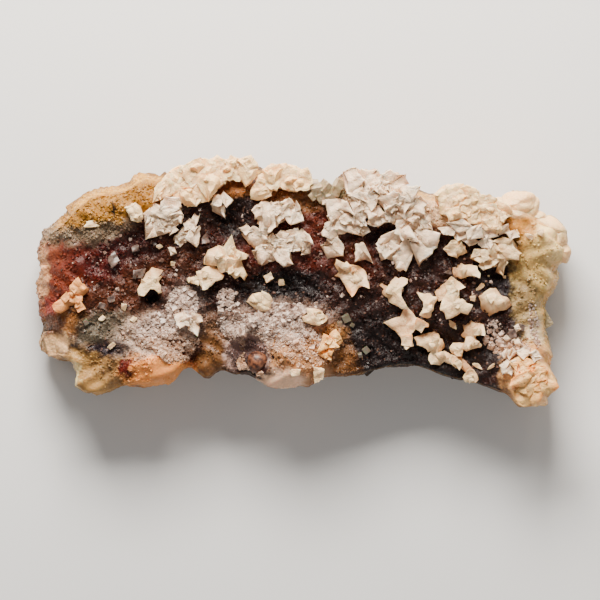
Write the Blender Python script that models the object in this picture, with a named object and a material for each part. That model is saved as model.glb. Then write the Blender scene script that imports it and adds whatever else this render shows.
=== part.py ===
"""A flat-lying specimen of honey fluorite with clusters of white barite crystals on it.

One slab of crusted fluorite lies on its flat broken back with its crystal side up.
Curved, sharp-cornered barite crystals grow on the crystal side, singly, in rosettes
and in long masses along the far rim. Sizes in the tables are millimetres.
"""
import math

import bmesh
import bpy
import numpy as np
from mathutils import Matrix

# Units and the space kept between the barite and the fluorite that it grows on
MM = 0.001
GAP = 0.3

# Slab: height of its crystal side, how the rim rounds off, and its mesh
PLATEAU = 16.5
RIM_DROP = 3.2
RIM_WIDTH = 2.2
HALF_LENGTH = 53.0
HALF_WIDTH = 21.0
COLUMNS = 34
ROWS = 13
WALL_CUTS = 3

# How far the wall stands inside the widest outline, from the back up to the rim
WALL_LEVELS = (0.0, 0.25, 0.5, 0.75, 1.0)
WALL_INSET = (3.4, 1.2, 0.0, 0.3, 1.3)

# Roughness of the crusted faces: lumps a few millimetres across and crystal facets
LUMP_HEIGHT = 0.5
FACET_HEIGHT = 0.42
FACET_SHIFT = 0.30

# The slab's widest outline, seen from above, as its four sides
LEFT_SIDE = (
    (-46.0, -21.0), (-46.2, -17.6), (-47.4, -16.2), (-49.6, -15.6), (-51.8, -14.6),
    (-52.8, -13.0), (-53.0, -8.8), (-53.4, -3.8), (-53.8, -0.2), (-53.4, 2.6),
    (-53.2, 7.6), (-52.4, 10.6),
)
RIGHT_SIDE = (
    (48.6, -24.2), (48.8, -22.2), (50.6, -20.6), (49.4, -17.2), (50.0, -14.4),
    (49.2, -11.6), (49.0, -7.4), (48.6, -4.2), (50.4, -1.6), (51.2, 1.2),
    (51.0, 3.4), (53.2, 4.8), (53.6, 6.6), (52.4, 8.6), (52.8, 9.8), (52.0, 11.6),
)
FAR_SIDE = (
    (-52.4, 10.6), (-49.6, 12.4), (-46.0, 16.2), (-42.8, 18.4), (-39.0, 19.2),
    (-36.0, 20.0), (-33.6, 21.6), (-30.0, 21.8), (-26.0, 20.6), (-21.0, 22.4),
    (-15.0, 23.2), (-10.0, 22.8), (-5.0, 21.8), (0.6, 21.2), (2.4, 19.6),
    (4.0, 20.2), (5.4, 19.4), (7.6, 21.4), (12.0, 21.6), (18.0, 21.0),
    (22.0, 18.8), (25.0, 17.8), (31.0, 17.4), (36.0, 16.4), (39.4, 16.4),
    (41.4, 18.0), (43.4, 18.4), (45.8, 17.4), (47.0, 14.4), (49.6, 13.4), (52.0, 11.6),
)
NEAR_SIDE = (
    (-46.0, -21.0), (-44.0, -22.2), (-41.0, -22.2), (-36.0, -21.0), (-28.6, -20.6),
    (-26.0, -19.8), (-24.2, -17.6), (-22.4, -17.2), (-19.4, -19.0), (-16.8, -17.8),
    (-14.0, -18.6), (-11.0, -18.4), (-9.0, -19.8), (-6.4, -21.2), (-4.0, -21.4),
    (-1.0, -20.4), (1.4, -20.8), (4.0, -18.9), (8.2, -19.0), (14.6, -17.6),
    (18.2, -16.8), (21.8, -16.8), (29.0, -19.0), (38.2, -21.6), (41.2, -23.0),
    (42.8, -24.8), (46.0, -25.0), (48.6, -24.2),
)

# Lumps and hollows of the crystal side: centre x, centre y, half width along x,
# half width along y, height above the plateau
RELIEF = (
    (-39.5, 15.0, 11.0, 5.0, 2.2),
    (-51.5, -1.0, 4.5, 14.0, -2.6),
    (-51.0, -12.4, 3.6, 3.4, -2.2),
    (-41.8, -17.6, 6.0, 4.0, -0.8),
    (-30.5, -17.0, 6.5, 3.6, 2.6),
    (-31.0, -11.0, 6.0, 3.6, 1.2),
    (-22.6, -15.6, 1.9, 3.2, -3.4),
    (-18.6, -13.5, 2.6, 5.0, -1.0),
    (-1.5, -16.0, 8.0, 5.0, 3.2),
    (-6.0, -8.0, 9.0, 3.4, 1.2),
    (-5.0, -0.6, 8.5, 2.8, -2.0),
    (24.0, -13.5, 15.0, 5.0, -2.0),
    (-28.0, 16.0, 8.0, 5.0, 1.4),
    (-12.0, 17.5, 9.0, 4.6, 1.8),
    (15.0, 16.5, 13.0, 4.6, 2.4),
    (33.0, 13.0, 8.0, 3.8, 1.6),
    (40.0, 1.6, 4.0, 4.6, -2.0),
    (48.6, 8.5, 4.4, 4.6, 1.2),
    (45.5, -18.5, 5.0, 5.4, 3.0),
    (-15.2, 13.4, 3.2, 4.6, -2.4),
    (14.4, 9.6, 2.4, 2.0, -2.4),
)

# The round vug near the front edge, the honey-coloured dome inside it, and a small
# deep hole further left
VUG_CENTRE = (-11.6, -14.2)
VUG_RADIUS = 3.3
VUG_DEPTH = 2.6
DOME_OFFSET = (0.9, -0.3)
DOME_RADIUS = 1.5
HOLE_CENTRE = (-30.4, -3.6)
HOLE_RADIUS = 1.25
HOLE_DEPTH = 2.8
PIT_FLOOR = 0.6
PIT_MOUTH = 1.25
PIT_SIDES = 14

# Fluorite cubes half sunk in the walls and ledges: centre x, y, z, edge length, then
# the turn about the upright axis and the tilt, in degrees
BLOCKS = (
    (-49.4, -11.8, 9.6, 5.0, 12, 8), (-41.6, -17.4, 10.2, 6.0, 38, 14),
    (-30.4, -16.6, 13.2, 5.6, 8, 12), (-3.6, -15.6, 10.6, 7.4, 30, 10),
    (12.4, -14.6, 7.6, 5.6, 42, 18), (30.6, -15.4, 8.2, 5.6, 28, 12),
    (45.0, -20.0, 10.2, 6.0, 20, 10), (-43.4, 13.6, 10.6, 6.0, 34, 22),
    (-27.4, 17.4, 8.6, 6.0, 44, 28), (-4.4, 18.4, 7.8, 6.4, 36, 24),
    (15.8, 17.2, 7.6, 6.0, 48, 30), (36.6, 12.8, 8.8, 5.2, 32, 26),
    (48.4, 8.6, 12.2, 5.0, 40, 12), (46.2, -7.0, 8.8, 5.4, 30, 14),
    (-49.6, 2.0, 8.6, 5.4, 20, 16),
)

# Barite crystals: how far a body narrows to its foot and how deep the foot is set in
# the fluorite before it is trimmed
FOOT_SCALE = 0.74
FOOT_DEPTH = 3.2

# How far the foot leans in under the rim, the distances from the middle lines at which
# the lean starts, and the widths over which it grows to its full amount
RIM_LEAN = 2.2
LEAN_START = (45.0, 15.0)
LEAN_WIDTH = (6.0, 5.0)

# Edges of a crystal: how far the middle of an edge is drawn in, and the mean reach below
# which an edge stays straight
BAY = 0.94
BAY_REACH = 1.95

# Heights around a crystal as shares of its rise: at the corners, at the middles of the
# edges, and how much both swing up and down as they go round
CORNER_SHARE = 0.82
BAY_SHARE = 0.66
SADDLE = 0.28

# Each cluster: its finish, then its crystals as centre x, centre y, rise above the
# crust, and the corners as offsets from the centre
CLUSTERS = {
    "barite_left_star": ("barite_peach", (
        (-44.9, -1.3, 2.4, ((0.0, 2.2), (2.1, -0.4), (0.2, -2.0), (-1.4, 0.2))),
        (-47.6, -3.9, 2.0, ((-2.6, -0.4), (-1.6, -1.8), (2.4, -1.0), (2.3, 1.6), (-0.6, 1.4))),
        (-44.8, -4.4, 1.8, ((0.0, -1.6), (1.3, -0.9), (0.8, 1.8), (-1.0, 1.0))),
    )),
    "barite_kite": ("barite_cream", (
        (-30.0, 1.0, 2.2, ((-0.3, 1.9), (1.8, 1.1), (1.6, 0.2), (-1.6, 0.3), (-0.2, -1.4))),
        (-31.2, -0.8, 1.9, ((-1.9, -1.5), (-1.8, -0.3), (-0.2, 2.2), (1.4, 0.2))),
        (-29.3, -0.4, 1.7, ((0.8, -1.7), (-0.4, -1.2), (0.9, 0.9), (-1.0, 0.8))),
    )),
    "barite_pale_dome": ("barite_cream", (
        (-33.9, 13.6, 1.7, ((-1.8, 1.2), (0.2, 2.2), (1.5, 0.8), (1.5, -1.6), (-0.6, -1.2))),
    )),
    "barite_chip_upper_left": ("barite_white", (
        (-26.3, 6.2, 1.3, ((-0.9, 0.7), (0.5, 0.8), (0.9, -0.6), (-0.3, -1.0))),
    )),
    "barite_crest_left": ("barite_white", (
        (-27.6, 18.8, 2.4, ((-2.4, -2.8), (-2.0, 0.4), (1.2, 2.0), (1.8, -1.2))),
        (-24.6, 20.6, 2.8, ((-2.2, 1.3), (0.8, 2.6), (2.6, 1.2), (2.0, -2.4), (-1.6, -2.4))),
        (-21.4, 22.0, 3.0, ((0.4, 2.7), (-3.0, 0.6), (-1.2, -3.1), (2.2, 0.8), (1.8, -2.0))),
        (-17.4, 22.6, 3.0, ((0.0, 2.6), (-2.4, 1.2), (1.6, -3.0), (2.2, 1.2), (-1.8, -2.0))),
        (-14.2, 22.8, 3.0, ((-0.3, 2.5), (1.6, 1.4), (-1.8, 0.9), (1.4, -2.8), (-1.0, -2.4))),
        (-11.0, 22.2, 2.8, ((0.4, 2.9), (1.9, 0.8), (-2.0, 1.8), (-0.6, -3.0), (1.2, -1.4))),
        (-19.3, 18.8, 3.0, ((0.2, 2.6), (2.3, 1.9), (1.8, -0.6), (0.2, -2.7), (-2.1, 1.4))),
        (-22.4, 16.8, 2.6, ((-2.6, 1.0), (-0.6, 1.8), (2.2, 1.0), (0.9, -1.7), (-1.6, -1.4))),
    )),
    "barite_upper_left_mass": ("barite_white", (
        (-28.6, 14.0, 2.8, ((-2.6, 0.0), (-1.2, 1.8), (2.4, 1.4), (3.6, 0.4), (1.4, -1.8))),
        (-29.9, 11.0, 2.6, ((-1.7, -2.5), (-2.0, 2.2), (0.8, 2.6), (3.2, -0.9), (0.6, -1.8))),
        (-25.3, 13.2, 2.6, ((0.4, 2.0), (1.3, 0.2), (0.8, -1.6), (-1.6, 0.0))),
    )),
    "barite_upper_left_rosette": ("barite_white", (
        (-24.0, 9.8, 2.2, ((-1.8, -0.6), (-1.0, -1.9), (0.2, 1.6), (2.0, 1.2), (1.6, -0.8))),
        (-22.2, 9.6, 2.5, ((1.4, 1.7), (1.4, 0.0), (0.8, -2.7), (-1.6, -0.8), (-0.4, 1.4))),
        (-21.9, 12.5, 2.2, ((0.3, 1.8), (1.2, 1.2), (0.2, -1.6), (-1.0, -1.4))),
    )),
    "barite_small_twin": ("barite_white", (
        (-15.9, 16.2, 2.4, ((-0.2, 1.9), (1.8, 0.1), (0.4, -1.4), (-1.2, 0.6))),
        (-16.9, 14.8, 2.2, ((-1.8, 1.0), (-1.4, -0.6), (1.1, -2.0), (1.2, 0.8))),
    )),
    "barite_crest_middle": ("barite_white", (
        (-6.4, 21.2, 2.8, ((-0.2, 2.4), (-1.9, 1.2), (2.2, 1.8), (1.0, -3.0), (-1.2, -2.2))),
        (-2.9, 21.0, 2.8, ((-1.1, 2.1), (1.4, 2.0), (-2.9, 0.2), (-1.8, -2.2), (1.4, -2.8))),
        (0.0, 20.6, 2.6, ((0.7, 2.2), (1.8, -0.6), (-2.0, 1.4), (0.6, -2.4), (-1.6, -2.2))),
        (-8.7, 18.6, 2.4, ((-0.4, 2.2), (-1.9, -2.0), (2.2, -1.4), (1.8, 1.4), (-1.6, 0.4))),
    )),
    "barite_upper_centre_mass": ("barite_white", (
        (-8.9, 13.8, 2.8, ((-1.6, 0.4), (-0.4, 1.6), (-0.9, -1.2), (1.2, -0.6), (1.4, 1.2))),
        (-6.9, 13.8, 3.2, ((0.4, 2.3), (-0.4, -3.8), (1.2, -2.6), (1.4, 0.8), (-1.2, 1.4))),
        (-4.3, 14.0, 3.0, ((-2.4, 1.2), (1.3, 1.7), (-0.7, -2.4), (1.6, -0.8))),
        (-2.0, 13.8, 3.2, ((0.4, 2.3), (1.2, 0.6), (-0.7, -2.4), (-1.8, -0.8), (2.0, -1.6))),
    )),
    "barite_lower_centre_mass": ("barite_white", (
        (-9.0, 8.6, 3.0, ((-1.2, 2.6), (1.2, 1.2), (-3.4, 1.2), (1.8, -0.2), (1.4, -1.8), (-0.6, -2.2))),
        (-8.0, 5.3, 2.6, ((-2.2, 0.9), (2.2, 1.3), (1.9, -0.3), (-0.5, -2.1), (-1.7, -0.5), (-0.4, 1.8))),
        (-0.4, 8.2, 3.2, ((-0.1, 2.4), (1.4, 1.2), (2.1, -0.6), (1.0, -1.8), (-2.0, -1.4), (-1.9, 0.8))),
        (-3.4, 8.0, 2.8, ((-2.4, 1.6), (1.4, 1.2), (1.0, -1.8), (-0.8, -2.2))),
        (-4.2, 5.2, 2.8, ((-1.6, 2.0), (-2.2, 0.4), (0.1, -2.1), (2.0, -1.6), (1.4, 1.4))),
    )),
    "barite_centre_star": ("barite_cream", (
        (-15.0, 4.8, 3.4, ((0.6, 4.3), (3.8, -0.1), (3.2, -3.4), (1.2, -4.1), (-1.8, -3.0))),
        (-17.2, 5.2, 2.8, ((-2.6, -1.6), (-1.8, 0.9), (0.2, 2.1), (1.8, 0.4), (0.8, -2.2))),
        (-20.8, 0.6, 2.2, ((-2.6, -0.2), (-0.4, 1.8), (1.8, 1.0), (0.4, -2.0), (-0.8, -1.4))),
        (-18.2, 1.4, 2.6, ((-1.2, 1.8), (0.6, 2.2), (2.2, 0.0), (0.0, -2.2), (-1.8, -1.4))),
    )),
    "barite_plate_centre": ("barite_cream", (
        (-7.2, 1.0, 1.5, ((0.6, 1.1), (1.1, -0.3), (-0.3, -1.3), (-1.0, 0.2))),
    )),
    "barite_mushroom": ("barite_cream", (
        (-8.8, -4.0, 2.6, ((-2.5, 0.1), (-1.4, 1.6), (0.4, 2.0), (2.2, 0.9), (2.3, -1.6), (-0.6, -1.6))),
    )),
    "barite_lower_left_pair": ("barite_white", (
        (-24.4, -7.6, 2.2, ((-1.6, 1.0), (0.4, 1.8), (-0.4, -1.8), (1.6, -1.2), (1.8, 0.6))),
        (-21.8, -8.0, 2.4, ((-0.6, 1.8), (1.7, 0.0), (0.6, -2.9), (-1.4, -1.4), (1.2, 1.4))),
    )),
    "barite_cream_tooth": ("barite_cream", (
        (2.2, -7.2, 2.4, ((-0.4, 2.3), (2.3, 0.4), (1.4, -1.3), (0.0, -2.2), (-2.4, -0.4), (-1.6, 1.6))),
    )),
    "barite_orange_blades": ("barite_peach", (
        (6.0, -11.4, 2.6, ((0.4, 1.8), (1.5, -0.4), (0.6, -2.0), (-1.6, -0.8), (-1.6, 1.0))),
        (5.0, -13.4, 2.6, ((0.6, -2.2), (1.4, 0.6), (-1.4, 1.6), (-1.6, -1.0))),
    )),
    "barite_notch_stack": ("barite_white", (
        (3.8, 16.8, 1.8, ((-0.6, 1.4), (-0.8, 0.4), (-0.2, -1.4), (1.2, -1.2), (0.4, 0.8))),
        (6.9, 14.4, 2.8, ((-2.4, 1.8), (0.6, 2.0), (1.6, 1.6), (3.2, -1.2), (1.2, -1.6), (-1.4, -2.5))),
        (5.5, 10.3, 2.8, ((-2.2, -0.4), (-1.4, 1.4), (0.4, 2.0), (2.1, 0.9), (1.2, -1.9), (-1.2, -1.4))),
        (5.6, 7.2, 2.5, ((-2.3, 0.1), (-1.0, -2.8), (2.1, -1.9), (2.2, 0.4), (0.6, 1.8))),
        (9.3, 11.2, 2.6, ((-1.6, 1.2), (-2.6, -0.6), (2.3, -2.0), (2.4, 0.6), (0.8, 1.9))),
    )),
    "barite_arch": ("barite_white", (
        (11.6, 5.9, 2.5, ((-1.4, 1.6), (0.4, 1.9), (2.1, -2.1), (0.4, -1.4), (-1.5, -1.9))),
    )),
    "barite_molar": ("barite_cream", (
        (9.7, 0.8, 3.0, ((-2.8, 3.2), (-3.0, 0.4), (-0.2, -3.6), (3.2, -2.0), (2.6, 1.4))),
    )),
    "barite_upper_right_mass": ("barite_white", (
        (9.8, 19.8, 2.8, ((-1.9, 2.1), (0.6, 2.9), (2.4, 0.6), (0.8, -2.6), (-1.2, -2.2))),
        (13.2, 19.8, 3.0, ((-1.8, 2.7), (1.4, 2.6), (2.6, 0.4), (0.6, -2.4), (-1.8, -2.2))),
        (17.2, 20.0, 2.8, ((-1.8, 1.4), (0.0, 2.5), (2.9, 1.4), (3.6, -0.4), (0.2, -2.0), (-2.0, -1.6))),
        (12.0, 16.2, 2.6, ((-3.1, 1.0), (-0.8, 1.8), (2.8, 1.0), (1.4, -2.2), (-1.0, -2.0))),
        (17.4, 16.2, 3.2, ((-2.8, 0.4), (0.4, 2.0), (2.2, 0.8), (1.8, -1.8), (-1.4, -1.8))),
        (20.6, 17.4, 3.0, ((2.4, 1.6), (0.8, -1.8), (-2.2, -0.8), (-1.8, 1.6))),
        (21.8, 15.2, 3.4, ((1.4, 1.9), (2.8, 0.4), (2.2, -1.8), (-1.8, -1.6), (-1.6, 1.4))),
        (14.5, 12.5, 2.6, ((0.6, 2.9), (1.9, -0.4), (0.2, -1.5), (-2.0, -0.9), (-1.2, 2.4))),
        (17.9, 13.2, 3.0, ((-1.6, 2.2), (1.8, 0.4), (0.6, -1.8), (-1.6, -0.8))),
        (24.2, 12.4, 3.0, ((-0.6, 2.6), (1.2, 0.8), (1.4, -1.8), (-1.2, -1.8))),
        (20.8, 11.0, 4.0, ((-2.3, 1.2), (-0.8, 2.4), (2.8, 1.4), (1.6, -2.4), (-1.2, -3.0), (-2.6, -1.2))),
        (16.9, 8.0, 3.2, ((-2.6, -0.4), (-1.6, 1.2), (1.8, 2.6), (2.4, -0.8), (-0.7, -3.4))),
        (19.8, 5.4, 2.8, ((0.4, 3.4), (2.2, 0.4), (0.6, -3.4), (-1.6, -2.8), (-2.0, -0.4))),
        (24.0, 8.0, 3.4, ((-2.8, -0.2), (-1.8, 2.2), (3.2, 1.7), (1.5, -2.3), (-1.0, -4.6))),
    )),
    "barite_crest_right": ("barite_white", (
        (28.4, 16.8, 2.8, ((0.4, 2.6), (-2.4, 0.6), (2.4, 1.8), (2.2, -2.6), (-1.0, -2.8))),
        (32.2, 16.8, 3.0, ((-1.4, 2.0), (1.0, 2.4), (3.2, 0.4), (1.6, -2.4), (-1.8, -2.2))),
        (35.6, 15.2, 2.8, ((-1.2, 1.8), (0.2, 2.2), (3.0, 1.4), (0.2, -2.2), (-1.4, -2.8))),
        (39.0, 14.6, 2.6, ((-1.6, 1.6), (1.6, 0.9), (2.6, -1.4), (-0.4, -1.8), (-2.0, -0.6))),
        (38.0, 11.4, 2.8, ((-2.4, 0.9), (0.8, 1.9), (1.6, -1.0), (0.4, -1.8))),
    )),
    "barite_flat_blades": ("barite_white", (
        (31.4, 11.2, 2.6, ((-2.8, 0.6), (0.2, 1.3), (2.6, -0.4), (-0.6, -1.5))),
        (28.6, 10.4, 2.2, ((-2.0, 0.4), (2.8, 0.6), (1.2, -1.2), (-0.8, -1.0))),
        (34.0, 9.9, 3.0, ((-1.8, 0.6), (1.4, 1.6), (1.8, -1.0), (-1.4, -1.5))),
    )),
    "barite_olive_block": ("barite_cream", (
        (30.2, 6.6, 2.6, ((-2.4, 0.0), (-0.8, 1.7), (1.2, 1.5), (2.4, -0.8), (0.4, -1.8), (-1.4, -1.2))),
    )),
    "barite_right_fan": ("barite_cream", (
        (34.9, 5.4, 2.4, ((-1.6, -0.6), (-1.0, 1.1), (1.6, 1.2), (2.4, -0.8), (0.2, -1.6))),
        (40.3, 6.6, 3.4, ((-2.8, 1.4), (-0.6, 2.4), (1.2, 1.8), (3.1, -0.9), (2.6, -2.2), (-1.6, -1.8))),
        (37.0, 4.2, 2.8, ((-2.2, -0.9), (-1.2, -1.9), (0.8, 1.9), (3.2, 0.2), (0.6, -1.2))),
        (39.5, 3.6, 2.6, ((0.3, 2.4), (1.2, 0.2), (0.4, -2.4), (-1.2, -1.6))),
    )),
    "barite_sill": ("barite_white", (
        (31.0, 2.2, 2.2, ((-0.3, 1.8), (-2.9, -0.2), (-1.4, -0.9), (0.6, -1.5), (1.4, 1.1))),
        (33.2, 1.9, 2.2, ((1.0, 1.0), (1.8, -1.0), (-1.4, -1.0), (-1.4, 1.0))),
    )),
    "barite_pyramids": ("barite_cream", (
        (29.2, -1.5, 2.8, ((0.2, 2.0), (2.3, 0.7), (1.8, -2.0), (-2.0, -2.4), (-2.7, -0.6))),
        (29.6, -4.7, 2.6, ((-2.0, 1.6), (0.8, 2.2), (3.6, 0.0), (3.2, -1.7), (-1.2, -2.7), (-2.1, -0.7))),
    )),
    "barite_hook": ("barite_cream", (
        (24.6, -3.4, 2.2, ((-2.0, 1.1), (0.6, 1.0), (1.5, -0.5), (0.6, -1.9), (-0.6, -0.8))),
        (24.4, -5.7, 2.0, ((-1.3, -0.8), (0.2, -1.3), (1.3, 0.2), (0.2, 1.6))),
    )),
    "barite_forked_crystal": ("barite_cream", (
        (18.2, -1.4, 2.4, ((0.3, 2.3), (-2.8, 0.8), (1.8, 1.4), (1.9, -3.6), (-1.2, -2.2))),
    )),
    "barite_lower_star": ("barite_peach", (
        (20.0, -7.8, 3.0, ((0.5, 3.0), (-3.9, 0.0), (-2.8, -1.2), (1.8, 0.8), (1.0, -2.0))),
        (22.2, -8.8, 2.6, ((2.4, -0.1), (1.2, 1.3), (-0.8, 1.4), (-0.8, -1.9), (0.8, -0.6))),
        (20.6, -11.0, 2.2, ((0.0, -2.3), (1.1, -1.6), (0.6, 1.8), (-2.0, 1.2), (-0.9, -0.4))),
    )),
    "barite_lower_chain": ("barite_cream", (
        (25.4, -12.0, 2.6, ((-2.6, 0.7), (-0.8, 1.8), (1.2, 1.9), (2.6, -0.2), (1.4, -1.8), (-0.6, -1.9))),
        (26.8, -14.9, 2.2, ((-1.2, 1.6), (-1.5, -1.4), (1.8, 1.0), (2.0, -0.6), (0.0, -1.0))),
        (29.8, -15.3, 2.4, ((-1.8, 1.0), (1.2, 1.2), (2.4, -0.6), (1.2, -1.6), (-2.0, -0.8))),
        (32.4, -17.0, 2.2, ((-1.4, 1.3), (0.6, 0.9), (1.6, -1.4), (0.2, -1.2), (-1.2, -0.2))),
        (30.6, -13.3, 2.4, ((-1.6, 1.0), (1.6, 1.2), (1.2, -1.8), (-0.8, -1.6))),
        (33.4, -12.0, 2.4, ((0.2, 1.8), (2.1, 0.0), (-1.1, -1.7), (-1.7, 0.2))),
        (33.6, -9.6, 2.6, ((-2.0, 1.5), (2.2, 1.2), (2.4, -1.2), (-0.8, -1.4))),
        (33.5, -19.1, 1.8, ((-1.7, -0.3), (-0.8, 1.3), (0.8, 1.2), (1.4, -0.7), (0.0, -1.0))),
    )),
    "barite_right_rosette": ("barite_cream", (
        (37.6, -3.0, 2.8, ((-2.5, 0.4), (0.2, 1.9), (1.9, 0.8), (1.2, -2.2), (-1.9, -1.9))),
        (38.6, -4.5, 2.4, ((2.6, 0.6), (1.9, -0.8), (-1.7, -2.2), (-2.0, 0.6))),
    )),
    "barite_corner_crust": ("barite_peach", (
        (48.0, -19.8, 2.6, ((-1.8, 1.6), (0.6, 1.8), (2.8, -0.9), (0.2, -2.8), (-2.0, -1.2))),
        (44.4, -19.0, 3.0, ((-3.2, -2.0), (-0.8, 1.8), (1.6, 1.2), (2.0, -1.8))),
        (44.6, -22.0, 2.4, ((-2.6, -0.8), (-1.0, 1.8), (2.2, 1.4), (2.4, -1.6), (0.0, -2.4))),
        (42.4, -16.0, 2.6, ((-2.2, 1.2), (0.2, 2.2), (1.8, 0.4), (0.8, -2.0), (-1.6, -1.8))),
        (45.6, -15.2, 2.6, ((-1.6, 1.8), (1.4, 1.8), (2.2, -0.8), (0.6, -2.2), (-1.8, -1.6))),
    )),
}

# Finishes: base colour and roughness
FINISHES = {
    "fluorite_honey": ((0.16, 0.07, 0.035), 0.35),
    "barite_white": ((0.80, 0.73, 0.67), 0.55),
    "barite_cream": ((0.80, 0.68, 0.53), 0.55),
    "barite_peach": ((0.80, 0.55, 0.35), 0.5),
}


def clear_scene():
    for thing in list(bpy.data.objects):
        bpy.data.objects.remove(thing, do_unlink=True)


def new_collection(name):
    group = bpy.data.collections.new(name)
    bpy.context.scene.collection.children.link(group)
    return group


def make_finishes():
    made = {}
    for name, (colour, roughness) in FINISHES.items():
        finish = bpy.data.materials.new(name)
        finish.use_nodes = True
        shader = finish.node_tree.nodes["Principled BSDF"]
        shader.inputs["Base Color"].default_value = (*colour, 1.0)
        shader.inputs["Roughness"].default_value = roughness
        shader.inputs["Metallic"].default_value = 0.0
        made[name] = finish
    return made


def curve_through(knots, values, at):
    """Smooth curve through hand-read values: cubic pieces whose slope at a knot is
    that of the line between the knots beside it."""
    knots, values = np.array(knots), np.array(values)
    slope = np.gradient(values, knots)
    place = np.clip(np.searchsorted(knots, at) - 1, 0, len(knots) - 2)
    span = knots[place + 1] - knots[place]
    t = (at - knots[place]) / span
    rise = (2 * t**3 - 3 * t**2 + 1) * values[place] + (3 * t**2 - 2 * t**3) * values[place + 1]
    bend = (t**3 - 2 * t**2 + t) * slope[place] + (t**3 - t**2) * slope[place + 1]
    return rise + bend * span


def side_point(side, t, along):
    """Point at fraction t of one side, which runs evenly along x (0) or y (1)."""
    points = np.array(side)
    even = points[0, along] + (points[-1, along] - points[0, along]) * t
    other = curve_through(points[:, along], points[:, 1 - along], even)
    return np.stack((even, other) if along == 0 else (other, even), axis=-1)


def plan_point(u, v):
    """Surface patch between the four sides: the two lofts between facing sides, less
    the flat patch through the four corners. u and v run from 0 to 1."""
    near, far = side_point(NEAR_SIDE, u, 0), side_point(FAR_SIDE, u, 0)
    left, right = side_point(LEFT_SIDE, v, 1), side_point(RIGHT_SIDE, v, 1)
    u, v = u[..., None], v[..., None]
    corners = (
        (1 - u) * (1 - v) * np.array(NEAR_SIDE[0]) + u * (1 - v) * np.array(NEAR_SIDE[-1])
        + (1 - u) * v * np.array(FAR_SIDE[0]) + u * v * np.array(FAR_SIDE[-1])
    )
    return (1 - v) * near + v * far + (1 - u) * left + u * right - corners


def relief(x, y):
    """Height of the crystal side at a place: plateau, lumps and hollows, and ripples."""
    z = np.full_like(x, PLATEAU)
    for centre_x, centre_y, half_x, half_y, height in RELIEF:
        z += height * np.exp(-(((x - centre_x) / half_x) ** 2) - ((y - centre_y) / half_y) ** 2)
    ripples = np.sin(0.9 * x + 1.7 * np.sin(0.5 * y)) * np.sin(1.1 * y + 1.3 * np.sin(0.4 * x))
    return z + LUMP_HEIGHT * ripples


def height_at(x, y):
    return float(relief(np.array([x]), np.array([y]))[0])


def scatter(u, v, w, salt):
    """Repeatable value from -1 to 1 for each mesh point, for crystal facets."""
    wave = np.sin(u * 437.1 + v * 911.7 + w * 271.3 + salt) * 9301.7
    return 2.0 * (wave - np.floor(wave)) - 1.0


def slab_points(u, v, w):
    """Points of the slab: plan patch drawn in by the wall's inset, its crystal side
    lifted to the relief, which falls off at the rim."""
    x, y = np.moveaxis(plan_point(u, v), -1, 0)
    ripple = LUMP_HEIGHT * np.sin(0.8 * x + 0.6 * y + 4.0 * w) * np.where(w < 0.4, 2.0, 1.0)
    rough = FACET_SHIFT * scatter(u, v, w, 0.7) * (w > 0) + ripple * (w < 1)
    inset = np.interp(w, WALL_LEVELS, WALL_INSET) - rough
    x = x * (1.0 - inset / HALF_LENGTH)
    y = y * (1.0 - inset / HALF_WIDTH)
    from_end = 2 * HALF_LENGTH * np.minimum(u, 1 - u)
    from_side = 2 * HALF_WIDTH * np.minimum(v, 1 - v)
    top = relief(x, y) - RIM_DROP * np.exp(-np.minimum(from_end, from_side) / RIM_WIDTH)
    return x, y, w * (top + FACET_HEIGHT * scatter(u, v, w, 2.9))


def make_slab(name, group, finish):
    """A grid extruded to a block, its walls cut into levels, then shaped as the slab."""
    mesh = bpy.data.meshes.new(name)
    block = bmesh.new()
    bmesh.ops.create_grid(block, x_segments=COLUMNS, y_segments=ROWS, size=1.0)
    upper = bmesh.ops.extrude_face_region(block, geom=block.faces[:])["geom"]
    lifted = [item for item in upper if isinstance(item, bmesh.types.BMVert)]
    bmesh.ops.translate(block, verts=lifted, vec=(0, 0, 1))
    upright = [edge for edge in block.edges if abs(edge.verts[0].co.z - edge.verts[1].co.z) > 0.5]
    bmesh.ops.subdivide_edges(block, edges=upright, cuts=WALL_CUTS, use_grid_fill=False)
    places = np.array([vert.co[:] for vert in block.verts])
    u, v, w = (places[:, 0] + 1) / 2, (places[:, 1] + 1) / 2, np.round(places[:, 2], 3)
    for vert, place in zip(block.verts, np.stack(slab_points(u, v, w), axis=-1) * MM):
        vert.co = place
    back = {vert for vert, level in zip(block.verts, w) if level == 0}
    flat = [edge for edge in block.edges if set(edge.verts) <= back]
    bmesh.ops.dissolve_limit(block, angle_limit=0.01, verts=list(back), edges=flat)
    bmesh.ops.recalc_face_normals(block, faces=block.faces[:])
    bmesh.ops.triangulate(block, faces=block.faces[:])
    block.to_mesh(mesh)
    block.free()
    mesh.materials.append(finish)
    slab = bpy.data.objects.new(name, mesh)
    group.objects.link(slab)
    return slab


def make_blocks(name, group, grow=0.0):
    """Fluorite cubes, each turned and tilted in its own place; grow moves every face out."""
    mesh = bpy.data.meshes.new(name)
    shape = bmesh.new()
    for x, y, z, edge, turn, tilt in BLOCKS:
        place = (
            Matrix.Translation((x * MM, y * MM, z * MM))
            @ Matrix.Rotation(math.radians(turn), 4, "Z")
            @ Matrix.Rotation(math.radians(tilt), 4, "X")
        )
        bmesh.ops.create_cube(shape, size=(edge + 2 * grow) * MM, matrix=place)
    shape.to_mesh(mesh)
    shape.free()
    blocks = bpy.data.objects.new(name, mesh)
    group.objects.link(blocks)
    as_cutter(blocks)
    return blocks


def add_boolean(target, cutter, operation, overlapping=False):
    cut = target.modifiers.new(operation.lower(), "BOOLEAN")
    cut.operation = operation
    cut.solver = "EXACT"
    cut.use_self = overlapping
    cut.object = cutter


def as_cutter(thing):
    thing.hide_render = True
    thing.display_type = "WIRE"


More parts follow.
